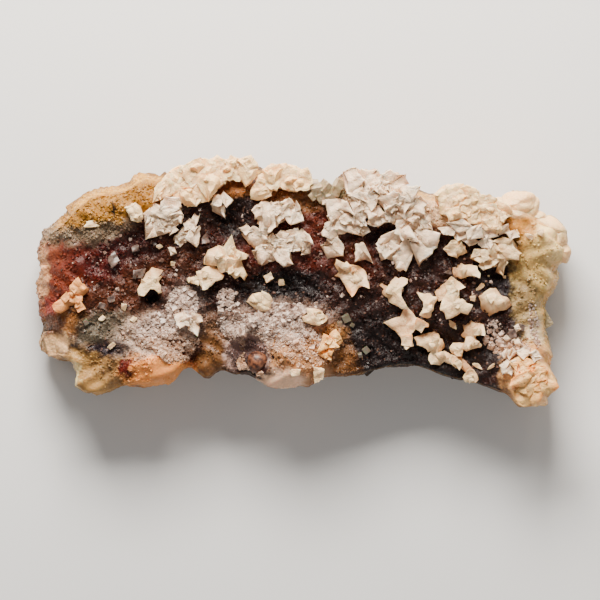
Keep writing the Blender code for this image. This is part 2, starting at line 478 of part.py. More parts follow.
def make_pit(name, group, centre, radius, depth):
    """A cone frustum that widens upwards, set down into the crystal side."""
    mesh = bpy.data.meshes.new(name)
    shape = bmesh.new()
    bmesh.ops.create_cone(
        shape, cap_ends=True, segments=PIT_SIDES,
        radius1=PIT_FLOOR * radius * MM, radius2=PIT_MOUTH * radius * MM, depth=2 * depth * MM,
    )
    shape.to_mesh(mesh)
    shape.free()
    pit = bpy.data.objects.new(name, mesh)
    pit.location = (centre[0] * MM, centre[1] * MM, height_at(*centre) * MM)
    group.objects.link(pit)
    as_cutter(pit)
    return pit


def make_dome(name, group):
    """The rounded crystal that fills part of the vug."""
    mesh = bpy.data.meshes.new(name)
    shape = bmesh.new()
    bmesh.ops.create_uvsphere(shape, u_segments=10, v_segments=6, radius=DOME_RADIUS * MM)
    shape.to_mesh(mesh)
    shape.free()
    dome = bpy.data.objects.new(name, mesh)
    x, y = VUG_CENTRE[0] + DOME_OFFSET[0], VUG_CENTRE[1] + DOME_OFFSET[1]
    dome.location = (x * MM, y * MM, (height_at(x, y) - VUG_DEPTH) * MM)
    group.objects.link(dome)
    as_cutter(dome)
    return dome


def rim_lean(x, y):
    """Outward direction for a crystal near the rim, and nothing further in."""
    shares = [
        min(max((abs(place) - start) / width, 0.0), 1.0)
        for place, start, width in zip((x, y), LEAN_START, LEAN_WIDTH)
    ]
    return math.copysign(shares[0] * RIM_LEAN, x), math.copysign(shares[1] * RIM_LEAN, y)


def has_bays(corners):
    """Larger crystals have edges that curve in between their corners."""
    return sum(math.hypot(*corner) for corner in corners) / len(corners) > BAY_REACH


def crystal_rings(x, y, rise, corners):
    """Top ring, foot ring and summit of one crystal. Corners and the bays between them
    make the top ring, whose height swings as a saddle does; the foot is smaller."""
    level = height_at(x, y)
    ordered = sorted(corners, key=lambda corner: math.atan2(corner[1], corner[0]))
    swing = 2.4 * x + 1.3 * y
    ring = []
    for here, after in zip(ordered, ordered[1:] + ordered[:1]):
        places = [(here, CORNER_SHARE)]
        if has_bays(corners):
            middle = ((here[0] + after[0]) / 2 * BAY, (here[1] + after[1]) / 2 * BAY)
            places.append((middle, BAY_SHARE))
        for (dx, dy), share in places:
            height = rise * (share + SADDLE * math.sin(2 * math.atan2(dy, dx) + swing))
            ring.append((x + dx, y + dy, level + height))
    lean_x, lean_y = rim_lean(x, y)
    foot = [
        (x - lean_x + dx * FOOT_SCALE, y - lean_y + dy * FOOT_SCALE, level - FOOT_DEPTH)
        for dx, dy in ordered
    ]
    return ring, foot, (x, y, level + rise)


def add_crystal(shape, x, y, rise, corners):
    """Loft between the top ring and the smaller foot, which has corners alone; both
    ends are closed."""
    ring, foot, summit = crystal_rings(x, y, rise, corners)
    upper = [shape.verts.new([value * MM for value in place]) for place in ring]
    lower = [shape.verts.new([value * MM for value in place]) for place in foot]
    peak = shape.verts.new([value * MM for value in summit])
    count = len(lower)
    step = len(upper) // count
    for index in range(count):
        after = (index + 1) % count
        edge = upper[step * index: step * (index + 1)] + [upper[step * after]]
        for first, second in zip(edge, edge[1:]):
            shape.faces.new((first, second, peak))
        shape.faces.new((lower[index], edge[1], edge[0]))
        shape.faces.new((lower[index], lower[after], edge[1]))
        if step == 2:
            shape.faces.new((lower[after], edge[2], edge[1]))
    shape.faces.new(lower[::-1])


def make_cluster(name, group, finish, crystals, trimmer):
    """All crystals of one cluster grown into one body, trimmed to the crust below."""
    mesh = bpy.data.meshes.new(name)
    shape = bmesh.new()
    for crystal in crystals:
        add_crystal(shape, *crystal)
    bmesh.ops.triangulate(shape, faces=shape.faces[:])
    shape.to_mesh(mesh)
    shape.free()
    mesh.materials.append(finish)
    cluster = bpy.data.objects.new(name, mesh)
    group.objects.link(cluster)
    add_boolean(cluster, trimmer, "DIFFERENCE", overlapping=True)
    return cluster


def build():
    clear_scene()
    finishes = make_finishes()
    parts = new_collection("honey_fluorite_with_barite")
    guides = new_collection("guides")

    slab = make_slab("fluorite_slab", parts, finishes["fluorite_honey"])
    add_boolean(slab, make_blocks("blocks", guides), "UNION", overlapping=True)
    add_boolean(slab, make_pit("vug", guides, VUG_CENTRE, VUG_RADIUS, VUG_DEPTH), "DIFFERENCE")
    add_boolean(slab, make_pit("hole", guides, HOLE_CENTRE, HOLE_RADIUS, HOLE_DEPTH), "DIFFERENCE")
    add_boolean(slab, make_dome("dome", guides), "UNION")

    trimmer = make_slab("trimmer", guides, finishes["fluorite_honey"])
    swell = trimmer.modifiers.new("swell", "DISPLACE")
    swell.mid_level = 0.0
    swell.strength = GAP * MM
    add_boolean(trimmer, make_blocks("trimmer_blocks", guides, grow=GAP), "UNION", overlapping=True)
    as_cutter(trimmer)
    for name, (finish, crystals) in CLUSTERS.items():
        make_cluster(name, parts, finishes[finish], crystals, trimmer)


build()
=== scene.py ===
"""Looks of a honey fluorite slab that lies on its back, with curved barite crystals on it."""
import math

import bpy
import numpy as np
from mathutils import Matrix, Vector


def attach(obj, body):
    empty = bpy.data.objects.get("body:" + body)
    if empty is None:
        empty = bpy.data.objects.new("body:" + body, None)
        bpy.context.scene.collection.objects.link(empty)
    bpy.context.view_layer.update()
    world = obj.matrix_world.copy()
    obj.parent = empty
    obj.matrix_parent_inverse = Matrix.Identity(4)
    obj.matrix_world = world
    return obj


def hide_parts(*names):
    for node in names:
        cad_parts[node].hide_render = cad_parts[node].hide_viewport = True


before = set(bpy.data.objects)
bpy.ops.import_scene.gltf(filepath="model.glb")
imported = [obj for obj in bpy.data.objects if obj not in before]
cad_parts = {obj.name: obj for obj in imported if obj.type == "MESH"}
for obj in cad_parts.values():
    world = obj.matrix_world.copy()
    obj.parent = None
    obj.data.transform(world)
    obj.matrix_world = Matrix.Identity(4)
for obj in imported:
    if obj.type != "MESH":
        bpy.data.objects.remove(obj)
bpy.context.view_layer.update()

# Fluorite slab: one thick crust of intergrown fluorite, honey at its rims and dark
# red-brown between them, broken off its matrix at the back. Sizes are millimetres, read
# from above: x to the right, y to the far crested rim, z out of the crystal side.
MM = 0.001
PLATEAU = 16.5
RIM_DROP = 3.2
RIM_WIDTH = 2.2
HALF_LENGTH = 53.0
HALF_WIDTH = 21.0
LUMP_HEIGHT = 0.5
WALL_LEVELS = (0.0, 0.25, 0.5, 0.75, 1.0)
WALL_INSET = (3.4, 1.2, 0.0, 0.3, 1.3)
LEFT_SIDE = (
    (-46.0, -21.0), (-46.2, -17.6), (-47.4, -16.2), (-49.6, -15.6), (-51.8, -14.6),
    (-52.8, -13.0), (-53.0, -8.8), (-53.4, -3.8), (-53.8, -0.2), (-53.4, 2.6),
    (-53.2, 7.6), (-52.4, 10.6),
)
RIGHT_SIDE = (
    (48.6, -24.2), (48.8, -22.2), (50.6, -20.6), (49.4, -17.2), (50.0, -14.4),
    (49.2, -11.6), (49.0, -7.4), (48.6, -4.2), (50.4, -1.6), (51.2, 1.2),
    (51.0, 3.4), (53.2, 4.8), (53.6, 6.6), (52.4, 8.6), (52.8, 9.8), (52.0, 11.6),
)
FAR_SIDE = (
    (-52.4, 10.6), (-49.6, 12.4), (-46.0, 16.2), (-42.8, 18.4), (-39.0, 19.2),
    (-36.0, 20.0), (-33.6, 21.6), (-30.0, 21.8), (-26.0, 20.6), (-21.0, 22.4),
    (-15.0, 23.2), (-10.0, 22.8), (-5.0, 21.8), (0.6, 21.2), (2.4, 19.6),
    (4.0, 20.2), (5.4, 19.4), (7.6, 21.4), (12.0, 21.6), (18.0, 21.0),
    (22.0, 18.8), (25.0, 17.8), (31.0, 17.4), (36.0, 16.4), (39.4, 16.4),
    (41.4, 18.0), (43.4, 18.4), (45.8, 17.4), (47.0, 14.4), (49.6, 13.4), (52.0, 11.6),
)
NEAR_SIDE = (
    (-46.0, -21.0), (-44.0, -22.2), (-41.0, -22.2), (-36.0, -21.0), (-28.6, -20.6),
    (-26.0, -19.8), (-24.2, -17.6), (-22.4, -17.2), (-19.4, -19.0), (-16.8, -17.8),
    (-14.0, -18.6), (-11.0, -18.4), (-9.0, -19.8), (-6.4, -21.2), (-4.0, -21.4),
    (-1.0, -20.4), (1.4, -20.8), (4.0, -18.9), (8.2, -19.0), (14.6, -17.6),
    (18.2, -16.8), (21.8, -16.8), (29.0, -19.0), (38.2, -21.6), (41.2, -23.0),
    (42.8, -24.8), (46.0, -25.0), (48.6, -24.2),
)
# Lumps and hollows: centre x, centre y, half width along x, along y, height
RELIEF = (
    (-39.5, 15.0, 11.0, 5.0, 2.2), (-51.5, -1.0, 4.5, 14.0, -2.6),
    (-51.0, -12.4, 3.6, 3.4, -2.2), (-41.8, -17.6, 6.0, 4.0, -0.8),
    (-30.5, -17.0, 6.5, 3.6, 2.6), (-31.0, -11.0, 6.0, 3.6, 1.2),
    (-22.6, -15.6, 1.9, 3.2, -3.4), (-18.6, -13.5, 2.6, 5.0, -1.0),
    (-1.5, -16.0, 8.0, 5.0, 3.2), (-6.0, -8.0, 9.0, 3.4, 1.2),
    (-5.0, -0.6, 8.5, 2.8, -2.0), (24.0, -13.5, 15.0, 5.0, -2.0),
    (-28.0, 16.0, 8.0, 5.0, 1.4), (-12.0, 17.5, 9.0, 4.6, 1.8),
    (15.0, 16.5, 13.0, 4.6, 2.4), (33.0, 13.0, 8.0, 3.8, 1.6),
    (40.0, 1.6, 4.0, 4.6, -2.0), (48.6, 8.5, 4.4, 4.6, 1.2),
    (45.5, -18.5, 5.0, 5.4, 3.0), (-15.2, 13.4, 3.2, 4.6, -2.4),
    (14.4, 9.6, 2.4, 2.0, -1.2),
)
# The round vug and the small deep hole: centre, radius, depth and steepness
VUG = (-11.3, -14.5, 4.3, 2.3, 3.0)
HOLE = (-30.4, -3.6, 1.5, 1.6, 2.0)
# Mesh of the slab: cells along and across the crystal side, levels of the wall
CELLS_ALONG = 400
CELLS_ACROSS = 150
LEVELS = 22
# Crystals of the crust: spacing, height over the crust, and the seed of their places
CRUST_GRAINS = ((1.5, 0.36, 11), (0.8, 0.24, 23))
# Directions of the three faces of a cube's corner, in radians
THIRDS = (0.0, 2.094, 4.189)
# Crystals of the broken wall: spacing and seed, and how many millimetres of them there
# are from the middle to the ends, from the middle to the sides, and down the wall
WALL_GRAINS = (1.6, 5)
WALL_SPREAD = (60.0, 40.0, 17.0)
# Size of the wall's ripples above a level, their size below it, and the level
WALL_RIPPLES = (1.0, 1.8, 0.4)
# The near wall is steeper: how fast that fades across the slab, and what it takes off
# the rim's drop and width and off the upper wall's inset
NEAR_FADE = 5.0
NEAR_RIM = 0.6
NEAR_INSET = 0.8
# Smooth places, where the fluorite broke or grew without small crystals: centre x,
# centre y, half width along x and along y, and how smooth the place is
SMOOTH = (
    (-51.4, -12.4, 3.2, 3.2, 1.0), (-29.6, -18.6, 6.8, 2.4, 1.0), (-5.6, -20.4, 6.4, 2.0, 1.0),
    (44.0, 17.0, 4.6, 2.4, 1.0), (50.4, 11.2, 3.4, 2.8, 1.0), (53.0, 6.4, 2.0, 2.4, 1.0),
    (-51.8, -0.6, 1.6, 3.2, 1.0), (-34.0, 14.6, 3.0, 2.0, 0.9), (-26.0, 20.8, 4.0, 1.6, 0.9),
    (3.0, -18.6, 3.0, 1.8, 1.0), (-42.0, -21.4, 5.0, 1.6, 0.9), (47.6, -21.4, 3.6, 2.4, 1.0),
    (48.0, 0.0, 4.6, 12.0, 0.75), (-18.8, -15.0, 2.6, 4.4, 0.8), (-48.0, 5.0, 7.0, 5.0, 0.55),
    (-41.6, -18.0, 5.6, 4.0, 0.3), (-0.6, -17.0, 7.4, 3.4, 0.6), (-38.0, 2.0, 12.0, 6.0, 0.3),
    (6.0, 6.0, 12.0, 7.0, 0.3), (26.0, -8.0, 16.0, 9.0, 0.3), (-38.0, 16.4, 10.0, 3.6, 0.3),
    (-51.0, 9.0, 3.0, 4.0, 0.5), (46.0, 11.0, 4.0, 4.0, 0.5), (45.0, -18.0, 4.6, 5.0, 0.6),
)


def side_point(side, t, along):
    """Fraction t of one side, evenly spaced along x (0) or y (1): a cubic through the
    given points whose slope at each is that between its neighbours."""
    points = np.array(side)
    knots, values = points[:, along], points[:, 1 - along]
    slope = np.gradient(values, knots)
    even = knots[0] + (knots[-1] - knots[0]) * t
    place = np.clip(np.searchsorted(knots, even) - 1, 0, len(knots) - 2)
    span = knots[place + 1] - knots[place]
    t = (even - knots[place]) / span
    rise = (2 * t**3 - 3 * t**2 + 1) * values[place] + (3 * t**2 - 2 * t**3) * values[place + 1]
    bend = (t**3 - 2 * t**2 + t) * slope[place] + (t**3 - t**2) * slope[place + 1]
    other = rise + bend * span
    return np.stack((even, other) if along == 0 else (other, even), axis=-1)


def plan_point(u, v):
    """Patch between the four sides: the two lofts between facing sides, less the flat
    patch through the corners."""
    near, far = side_point(NEAR_SIDE, u, 0), side_point(FAR_SIDE, u, 0)
    left, right = side_point(LEFT_SIDE, v, 1), side_point(RIGHT_SIDE, v, 1)
    u, v = u[..., None], v[..., None]
    corners = (
        (1 - u) * (1 - v) * np.array(NEAR_SIDE[0]) + u * (1 - v) * np.array(NEAR_SIDE[-1])
        + (1 - u) * v * np.array(FAR_SIDE[0]) + u * v * np.array(FAR_SIDE[-1])
    )
    return (1 - v) * near + v * far + (1 - u) * left + u * right - corners


def crossed_waves(x, y, first, second):
    """Sine of x, bent by a sine of y, times sine of y, bent by a sine of x. Each of first
    and second gives the wave's step, how far it bends, and the step of its bend."""
    along = np.sin(first[0] * x + first[1] * np.sin(first[2] * y))
    return along * np.sin(second[0] * y + second[1] * np.sin(second[2] * x))


def relief(x, y):
    """Plateau, plus a bell for each lump or hollow, plus crossed sine ripples."""
    z = np.full_like(x, PLATEAU)
    for centre_x, centre_y, half_x, half_y, height in RELIEF:
        z += height * np.exp(-(((x - centre_x) / half_x) ** 2) - ((y - centre_y) / half_y) ** 2)
    return z + LUMP_HEIGHT * crossed_waves(x, y, (0.9, 1.7, 0.5), (1.1, 1.3, 0.4))


def chance(i, j, salt):
    """Repeatable value from 0 to 1 for a pair of whole numbers."""
    wave = np.sin(i * 127.1 + j * 311.7 + salt * 74.7) * 43758.5453
    return wave - np.floor(wave)


def druse(x, y, pitch, salt):
    """Height from 0 to 1 of crystals that crowd together: in every cell of a jittered
    grid stands one three-sided corner of a cube, and the highest one shows."""
    i0, j0 = np.floor(x / pitch), np.floor(y / pitch)
    best = np.zeros_like(x)
    for di in (-1, 0, 1):
        for dj in (-1, 0, 1):
            i, j = i0 + di, j0 + dj
            dx = x / pitch - i - 0.15 - 0.7 * chance(i, j, salt)
            dy = y / pitch - j - 0.15 - 0.7 * chance(i, j, salt + 1)
            turn = 2.1 * chance(i, j, salt + 2)
            faces = [dx * np.cos(turn + third) + dy * np.sin(turn + third) for third in THIRDS]
            corner = 0.45 + 0.55 * chance(i, j, salt + 3) - 0.75 * np.maximum.reduce(faces)
            best = np.maximum(best, corner)
    return np.minimum(best, 1.0)


def pits(x, y):
    """Depth below the relief: bowls whose depth falls off with a power of the reach."""
    depth = np.zeros_like(x)
    for centre_x, centre_y, radius, deep, power in (VUG, HOLE):
        reach = np.hypot(x - centre_x, y - centre_y) / radius
        depth = np.maximum(depth, deep * np.maximum(1.0 - reach**power, 0.0))
    return depth


def smoothness(x, y):
    """From 0 to 1: a flat-topped bell for each smooth place, the highest of them."""
    share = np.zeros_like(x)
    for centre_x, centre_y, half_x, half_y, most in SMOOTH:
        away = np.hypot((x - centre_x) / half_x, (y - centre_y) / half_y)
        share = np.maximum(share, most * np.clip((1.4 - away) / 0.6, 0.0, 1.0))
    return share


def crust_height(x, y):
    """Finished height of the crystal side: relief and crystals, less the pits."""
    grains = sum(
        height * (druse(x, y, pitch, salt) - 0.45) for pitch, height, salt in CRUST_GRAINS
    )
    return relief(x, y) + grains * (1 - 0.92 * smoothness(x, y)) - pits(x, y)


def from_edge(u, v):
    """Distance in the plan to the nearest of the four sides, in millimetres."""
    along, across = np.minimum(u, 1 - u), np.minimum(v, 1 - v)
    return np.minimum(2 * HALF_LENGTH * along, 2 * HALF_WIDTH * across)


def slab_points(u, v, w):
    """Point of the slab at u, v of its plan and level w of its height. The plan is drawn
    in by the wall's inset, less its ripples and crystals. The height drops at the rim, by
    less the further in: by e to the power of minus the distance from the edge. The inset
    and the drop are less at the near side."""
    x, y = np.moveaxis(plan_point(u, v), -1, 0)
    near = np.clip(1.0 - NEAR_FADE * v, 0.0, 1.0) ** 0.5
    swelling = 0.5 + 0.5 * np.sin(0.37 * x - 0.5 * y + 7.0 * w)
    ripple = np.sin(0.8 * x + 0.6 * y + 4.0 * w) * swelling
    above, below, level = WALL_RIPPLES
    ripple *= LUMP_HEIGHT * np.where(w < level, below, above)
    around = WALL_SPREAD[0] * (x / HALF_LENGTH) + WALL_SPREAD[1] * (y / HALF_WIDTH)
    grains = druse(around, WALL_SPREAD[2] * w, *WALL_GRAINS) - 0.6
    broken = (0.9 - 0.3 * near) * grains * np.clip(6.0 * w, 0, 1) * (w < 1)
    inset = np.interp(w, WALL_LEVELS, WALL_INSET)
    inset = inset * np.where(w > 0.5, 1.0 - NEAR_INSET * near, 1.0) - (ripple * (w < 1) + broken)
    x = x * (1.0 - inset / HALF_LENGTH)
    y = y * (1.0 - inset / HALF_WIDTH)
    sharper = 1.0 - NEAR_RIM * near
    drop = RIM_DROP * sharper * np.exp(-from_edge(u, v) / (RIM_WIDTH * sharper))
    return np.stack((x, y, w * (crust_height(x, y) - drop)), axis=-1)


def rim_share(u, v, w):
    """Share of the rim's pale band, partly its honey colour and partly painted glow of light
    through the thin edge: falls off inwards over the crystal side, and down the wall to
    half its height; less at the left end, and on the near side only a thin line."""
    edge = from_edge(u, v)
    near = np.clip(1 - 10 * v, 0, 1) * np.clip(8 * u, 0, 1)
    left = np.clip(1 - 12 * u, 0, 1)
    band = np.exp(-edge / 0.7) * np.clip((w - 0.45) / 0.4, 0.0, 1.0) * (1 - 0.5 * left)
    line = 0.6 * np.exp(-edge / 0.3) * np.clip((w - 0.85) / 0.1, 0.0, 1.0)
    return band * (1 - near) + line * near


def rim_loop(ring):
    """Indices of the grid's border, anticlockwise from the near left corner."""
    return np.concatenate((ring[:-1, 0], ring[-1, :-1], ring[:0:-1, -1], ring[0, :0:-1]))


def slab_shape():
    """Crystal side as a grid over u and v; from its border rings go down the wall to the
    back and in to the back's middle, where they close in one point."""
    u, v = np.meshgrid(
        np.linspace(0, 1, CELLS_ALONG + 1), np.linspace(0, 1, CELLS_ACROSS + 1), indexing="ij"
    )
    index = np.arange(u.size).reshape(u.shape)
    quads = [np.stack((index[:-1, :-1], index[1:, :-1], index[1:, 1:], index[:-1, 1:]), -1)]
    points = [slab_points(u, v, np.ones_like(u)).reshape(-1, 3)]
    rims = [rim_share(u, v, np.ones_like(u)).ravel()]
    border = rim_loop(index)
    rim_u, rim_v = u.ravel()[border], v.ravel()[border]
    rings = [(1.0, level) for level in np.linspace(1, 0, LEVELS + 1)[1:]]
    rings += [(share, 0.0) for share in (0.9, 0.7, 0.45, 0.2)]
    loop, count = border, u.size
    for share, level in rings:
        ring_u, ring_v = 0.5 + (rim_u - 0.5) * share, 0.5 + (rim_v - 0.5) * share
        points.append(slab_points(ring_u, ring_v, np.full_like(ring_u, level)))
        rims.append(rim_share(ring_u, ring_v, np.full_like(ring_u, level)))
        after = np.arange(count, count + border.size)
        quads.append(np.stack((after, np.roll(after, -1), np.roll(loop, -1), loop), -1))
        loop, count = after, count + border.size
    points.append(slab_points(np.full(1, 0.5), np.full(1, 0.5), np.zeros(1)))
    rims.append(np.zeros(1))
    fan = np.stack((np.roll(loop, -1), loop, np.full_like(loop, count)), -1)
    quads = np.concatenate([patch.reshape(-1, 4) for patch in quads])
    return np.concatenate(points), quads, fan, np.concatenate(rims)


def make_piece(name, points, quads, triangles=None, crease=None):
    """Mesh object from points in millimetres and its faces: smooth, with edges sharp past
    the angle crease where one is given, or flat where crease is 0."""
    faces = quads.tolist() + ([] if triangles is None else triangles.tolist())
    mesh = bpy.data.meshes.new(name)
    mesh.from_pydata((points * MM).tolist(), [], faces)
    mesh.polygons.foreach_set("use_smooth", np.full(len(faces), crease != 0.0))
    if crease:
        mesh.set_sharp_from_angle(angle=crease)
    mesh.validate()
    piece = bpy.data.objects.new(name, mesh)
    bpy.context.scene.collection.objects.link(piece)
    return piece


def set_values(piece, name, values):
    """Gives a piece one number a vertex, which its material reads by name."""
    layer = piece.data.attributes.new(name, "FLOAT", "POINT")
    layer.data.foreach_set("value", values.astype(np.float32))


DEEPEN = 1.35


class Shade:
    """A socket of a material, so that shader maths reads as Python expressions."""

    def __init__(self, tree, socket=None):
        self.tree, self.socket = tree, socket

    def node(self, kind, settings=None, values=None, out=0):
        """Adds one node: its settings first, then values or links of its sockets."""
        made = self.tree.nodes.new(kind)
        for name, value in (settings or {}).items():
            setattr(made, name, value)
        for name, value in (values or {}).items():
            if isinstance(value, Shade):
                self.tree.links.new(value.socket, made.inputs[name])
            else:
                made.inputs[name].default_value = value
        return Shade(self.tree, made.outputs[out])

    def maths(self, operation, *values):
        return self.node("ShaderNodeMath", {"operation": operation}, dict(enumerate(values)))

    def vector(self, operation, *values, out=0):
        return self.node(
            "ShaderNodeVectorMath", {"operation": operation}, dict(enumerate(values)), out
        )

    def mix(self, factor, first, second, blend="MIX"):
        """Colour first where factor is 0 and second where it is 1."""
        settings = {"data_type": "RGBA", "blend_type": blend}
        return self.node("ShaderNodeMix", settings, {0: factor, 6: first, 7: second}, 2)

    def smooth(self, low, high):
        """0 below low, 1 above high, with a smooth step between them."""
        settings = {"interpolation_type": "SMOOTHSTEP"}
        values = {"Value": self, "From Min": low, "From Max": high}
        return self.node("ShaderNodeMapRange", settings, values)

    def __add__(self, other):
        return self.maths("ADD", self, other)

    def __sub__(self, other):
        return self.maths("SUBTRACT", self, other)

    def __rsub__(self, other):
        return self.maths("SUBTRACT", other, self)

    def __mul__(self, other):
        return self.maths("MULTIPLY", self, other)

    __radd__, __rmul__ = __add__, __mul__


def paint(red, green, blue):
    """Linear colour from the display values, 0 to 255, of a paint chip, deepened by a
    power because studio light and film tone pale it again."""
    value = np.array((red, green, blue)) / 255.0
    linear = np.where(value <= 0.04045, value / 12.92, ((value + 0.055) / 1.055) ** 2.4)
    return (*(float(part) for part in linear**DEEPEN), 1.0)


def new_finish(name, **constants):
    """Material with its constants set; returns it, its shader and a Shade that reads
    the piece's own coordinates in millimetres."""
    finish = bpy.data.materials.new(name)
    finish.use_nodes = True
    tree = finish.node_tree
    shader = tree.nodes["Principled BSDF"]
    for socket, value in constants.items():
        shader.inputs[socket.replace("_", " ")].default_value = value
    place = Shade(tree).node("ShaderNodeTexCoord", out=3)
    return finish, shader, place.vector("MULTIPLY", place, (1 / MM, 1 / MM, 1 / MM))


def noise(place, scale, detail, out=0):
    """Cloudy noise over a place: a number about 0.5 (output 0) or a colour (output 1)."""
    values = {"Vector": place, "Scale": scale, "Detail": detail}
    return place.node("ShaderNodeTexNoise", values=values, out=out)


def cells(place, scale, out=0):
    """Cells about scattered points: how far the nearest point is (output 0) or a colour
    for each cell (output 1)."""
    return place.node("ShaderNodeTexVoronoi", values={"Vector": place, "Scale": scale}, out=out)


def brightened(colour, light):
    """Colour times light, the same in red, green and blue."""
    grey = light.node("ShaderNodeCombineColor", values={0: light, 1: light, 2: light})
    return colour.mix(1.0, colour, grey, "MULTIPLY")


def bump(height, strength, distance):
    """Normal of a surface that rises by a distance in millimetres where height is 1."""
    values = {"Strength": strength, "Distance": distance * MM, "Height": height}
    return height.node("ShaderNodeBump", values=values)


def connect(shader, colour, roughness, normal):
    """Links a shader to what varies over its piece."""
    for name, value in (("Base Color", colour), ("Roughness", roughness), ("Normal", normal)):
        value.tree.links.new(value.socket, shader.inputs[name])


# Colours of the crust, from the ground up: each is an oval with centre x, centre y, half
# width along x and along y, turn in degrees, softness of its edge, and its paint
CRUST_ZONES = (
    (-35.8, 1.6, 12.0, 10.0, 0, 0.4, (100, 58, 34)),
    (-29.0, 6.0, 7.0, 4.4, 0, 0.5, (92, 52, 30)),
    (-4.0, 7.4, 12.0, 9.0, 0, 0.4, (98, 44, 28)),
    (2.6, 12.0, 3.4, 6.4, 0, 0.4, (108, 54, 36)),
    (10.5, 3.4, 5.0, 5.0, 0, 0.4, (90, 44, 24)),
    (-13.8, 13.4, 4.4, 5.4, 0, 0.35, (52, 34, 32)),
    (-4.8, -0.8, 10.0, 3.6, 4, 0.4, (40, 26, 28)),
    (23.2, -12.6, 19.0, 8.0, 0, 0.3, (46, 27, 26)),
    (30.0, -3.0, 12.0, 8.0, 0, 0.5, (66, 36, 28)),
    (39.4, 1.0, 5.6, 5.4, 0, 0.3, (52, 38, 42)),
    (14.4, 9.6, 3.0, 2.4, 0, 0.3, (66, 38, 34)),
    (-37.6, 7.6, 10.0, 3.6, -4, 0.4, (74, 24, 16)),
    (-47.4, 4.0, 5.6, 3.8, -4, 0.6, (130, 66, 48)),
    (-50.8, 5.8, 2.2, 3.0, 0, 0.5, (152, 92, 66)),
    (-48.4, -0.8, 4.2, 3.4, 0, 0.5, (132, 68, 42)),
    (-53.0, 1.6, 1.6, 5.4, 0, 0.5, (216, 172, 136)),
    (-41.0, 3.0, 5.0, 3.4, 0, 0.5, (94, 28, 18)),
    (-51.4, -5.6, 3.0, 2.6, 0, 0.4, (148, 68, 54)),
    (-46.8, -8.0, 3.4, 2.6, 0, 0.4, (166, 118, 66)),
    (-40.0, -10.0, 6.0, 4.4, 0, 0.35, (112, 102, 88)),
    (-44.4, 10.8, 9.4, 3.2, 6, 0.35, (150, 132, 112)),
    (-38.6, 16.6, 13.0, 4.8, 16, 0.18, (164, 124, 54)),
    (-32.0, 17.2, 4.0, 3.0, 0, 0.6, (152, 112, 34)),
    (-51.0, -12.2, 4.0, 4.0, 0, 0.2, (226, 192, 152)),
    (-41.8, -18.0, 7.4, 5.6, 0, 0.2, (182, 148, 98)),
    (-37.4, -17.6, 3.4, 3.6, 0, 0.4, (164, 132, 92)),
    (-46.0, -18.8, 1.3, 3.4, 0, 0.3, (228, 208, 160)),
    (-50.4, -8.6, 2.8, 2.2, 0, 0.4, (120, 82, 56)),
    (-22.6, -16.0, 2.4, 3.0, 0, 0.3, (128, 52, 34)),
    (-18.6, -13.8, 3.4, 6.8, 0, 0.3, (134, 98, 62)),
    (-31.0, -11.6, 6.6, 5.2, 0, 0.4, (184, 162, 146)),
    (-39.6, -13.2, 4.8, 1.5, 0, 0.5, (66, 52, 58)),
    (-23.6, -5.6, 4.4, 6.2, 0, 0.4, (116, 98, 92)),
    (-29.6, -18.0, 7.2, 3.6, 0, 0.25, (230, 166, 104)),
    (-24.6, -13.0, 4.0, 2.0, 0, 0.4, (112, 76, 56)),
    (-5.0, -9.0, 11.4, 4.8, 0, 0.4, (172, 148, 134)),
    (-1.4, -15.6, 9.6, 6.2, 0, 0.3, (176, 136, 100)),
    (-5.6, -20.2, 6.0, 3.0, 0, 0.3, (234, 200, 174)),
    (8.0, -16.6, 3.0, 3.6, 0, 0.35, (136, 98, 60)),
    (6.4, -10.0, 2.6, 1.6, 0, 0.4, (150, 112, 72)),
    (-11.2, -14.4, 4.8, 4.4, 0, 0.2, (186, 162, 152)),
    (-11.2, -14.2, 3.6, 3.2, 0, 0.4, (144, 120, 116)),
    (-10.6, -17.2, 4.0, 2.2, 0, 0.3, (56, 24, 20)),
    (-5.8, -15.0, 0.5, 0.4, 0, 0.3, (30, 16, 16)),
    (47.6, -0.8, 5.8, 13.6, 0, 0.22, (186, 164, 116)),
    (46.4, 3.6, 4.4, 6.4, 0, 0.4, (204, 178, 124)),
    (44.4, -3.6, 2.4, 4.6, 0, 0.4, (160, 138, 100)),
    (50.6, 2.0, 2.2, 6.0, 0, 0.4, (226, 202, 158)),
    (46.0, -9.6, 2.6, 2.6, 0, 0.4, (216, 196, 166)),
    (43.4, 12.0, 3.6, 4.0, 0, 0.5, (192, 146, 80)),
    (43.4, 16.4, 4.2, 3.2, 0, 0.35, (246, 220, 184)),
    (49.8, 11.0, 4.0, 3.6, -30, 0.35, (242, 216, 166)),
    (52.6, 6.4, 2.4, 2.8, 0, 0.4, (238, 214, 160)),
    (50.4, -10.4, 2.2, 7.4, 0, 0.4, (196, 184, 156)),
    (45.4, -18.6, 5.8, 6.4, 0, 0.25, (232, 186, 136)),
    (41.4, -13.4, 2.4, 2.8, 0, 0.4, (188, 178, 168)),
    (46.0, -23.6, 3.4, 1.8, 0, 0.4, (248, 210, 160)),
    (-13.8, 19.6, 4.0, 2.6, 0, 0.4, (146, 100, 54)),
    (-0.4, 17.2, 7.0, 3.0, 0, 0.4, (134, 96, 60)),
    (5.0, 18.6, 3.4, 2.6, 0, 0.3, (168, 156, 124)),
    (15.0, 18.6, 7.0, 3.4, 0, 0.4, (212, 186, 152)),
    (26.6, 13.4, 1.8, 3.2, 0, 0.4, (126, 70, 36)),
    (31.0, 14.4, 8.0, 4.0, 0, 0.4, (206, 180, 150)),
    (-30.4, -3.4, 1.9, 1.6, 0, 0.4, (44, 26, 24)),
    (-35.6, -17.2, 1.3, 1.9, 0, 0.4, (110, 40, 20)),
    (-52.4, -9.4, 1.6, 0.7, 0, 0.4, (46, 32, 26)),
    (-38.0, 14.4, 0.5, 1.6, 0, 0.5, (70, 48, 30)),
)
CRUST_GROUND = paint(68, 38, 30)
BROKEN_BACK = paint(176, 144, 104)
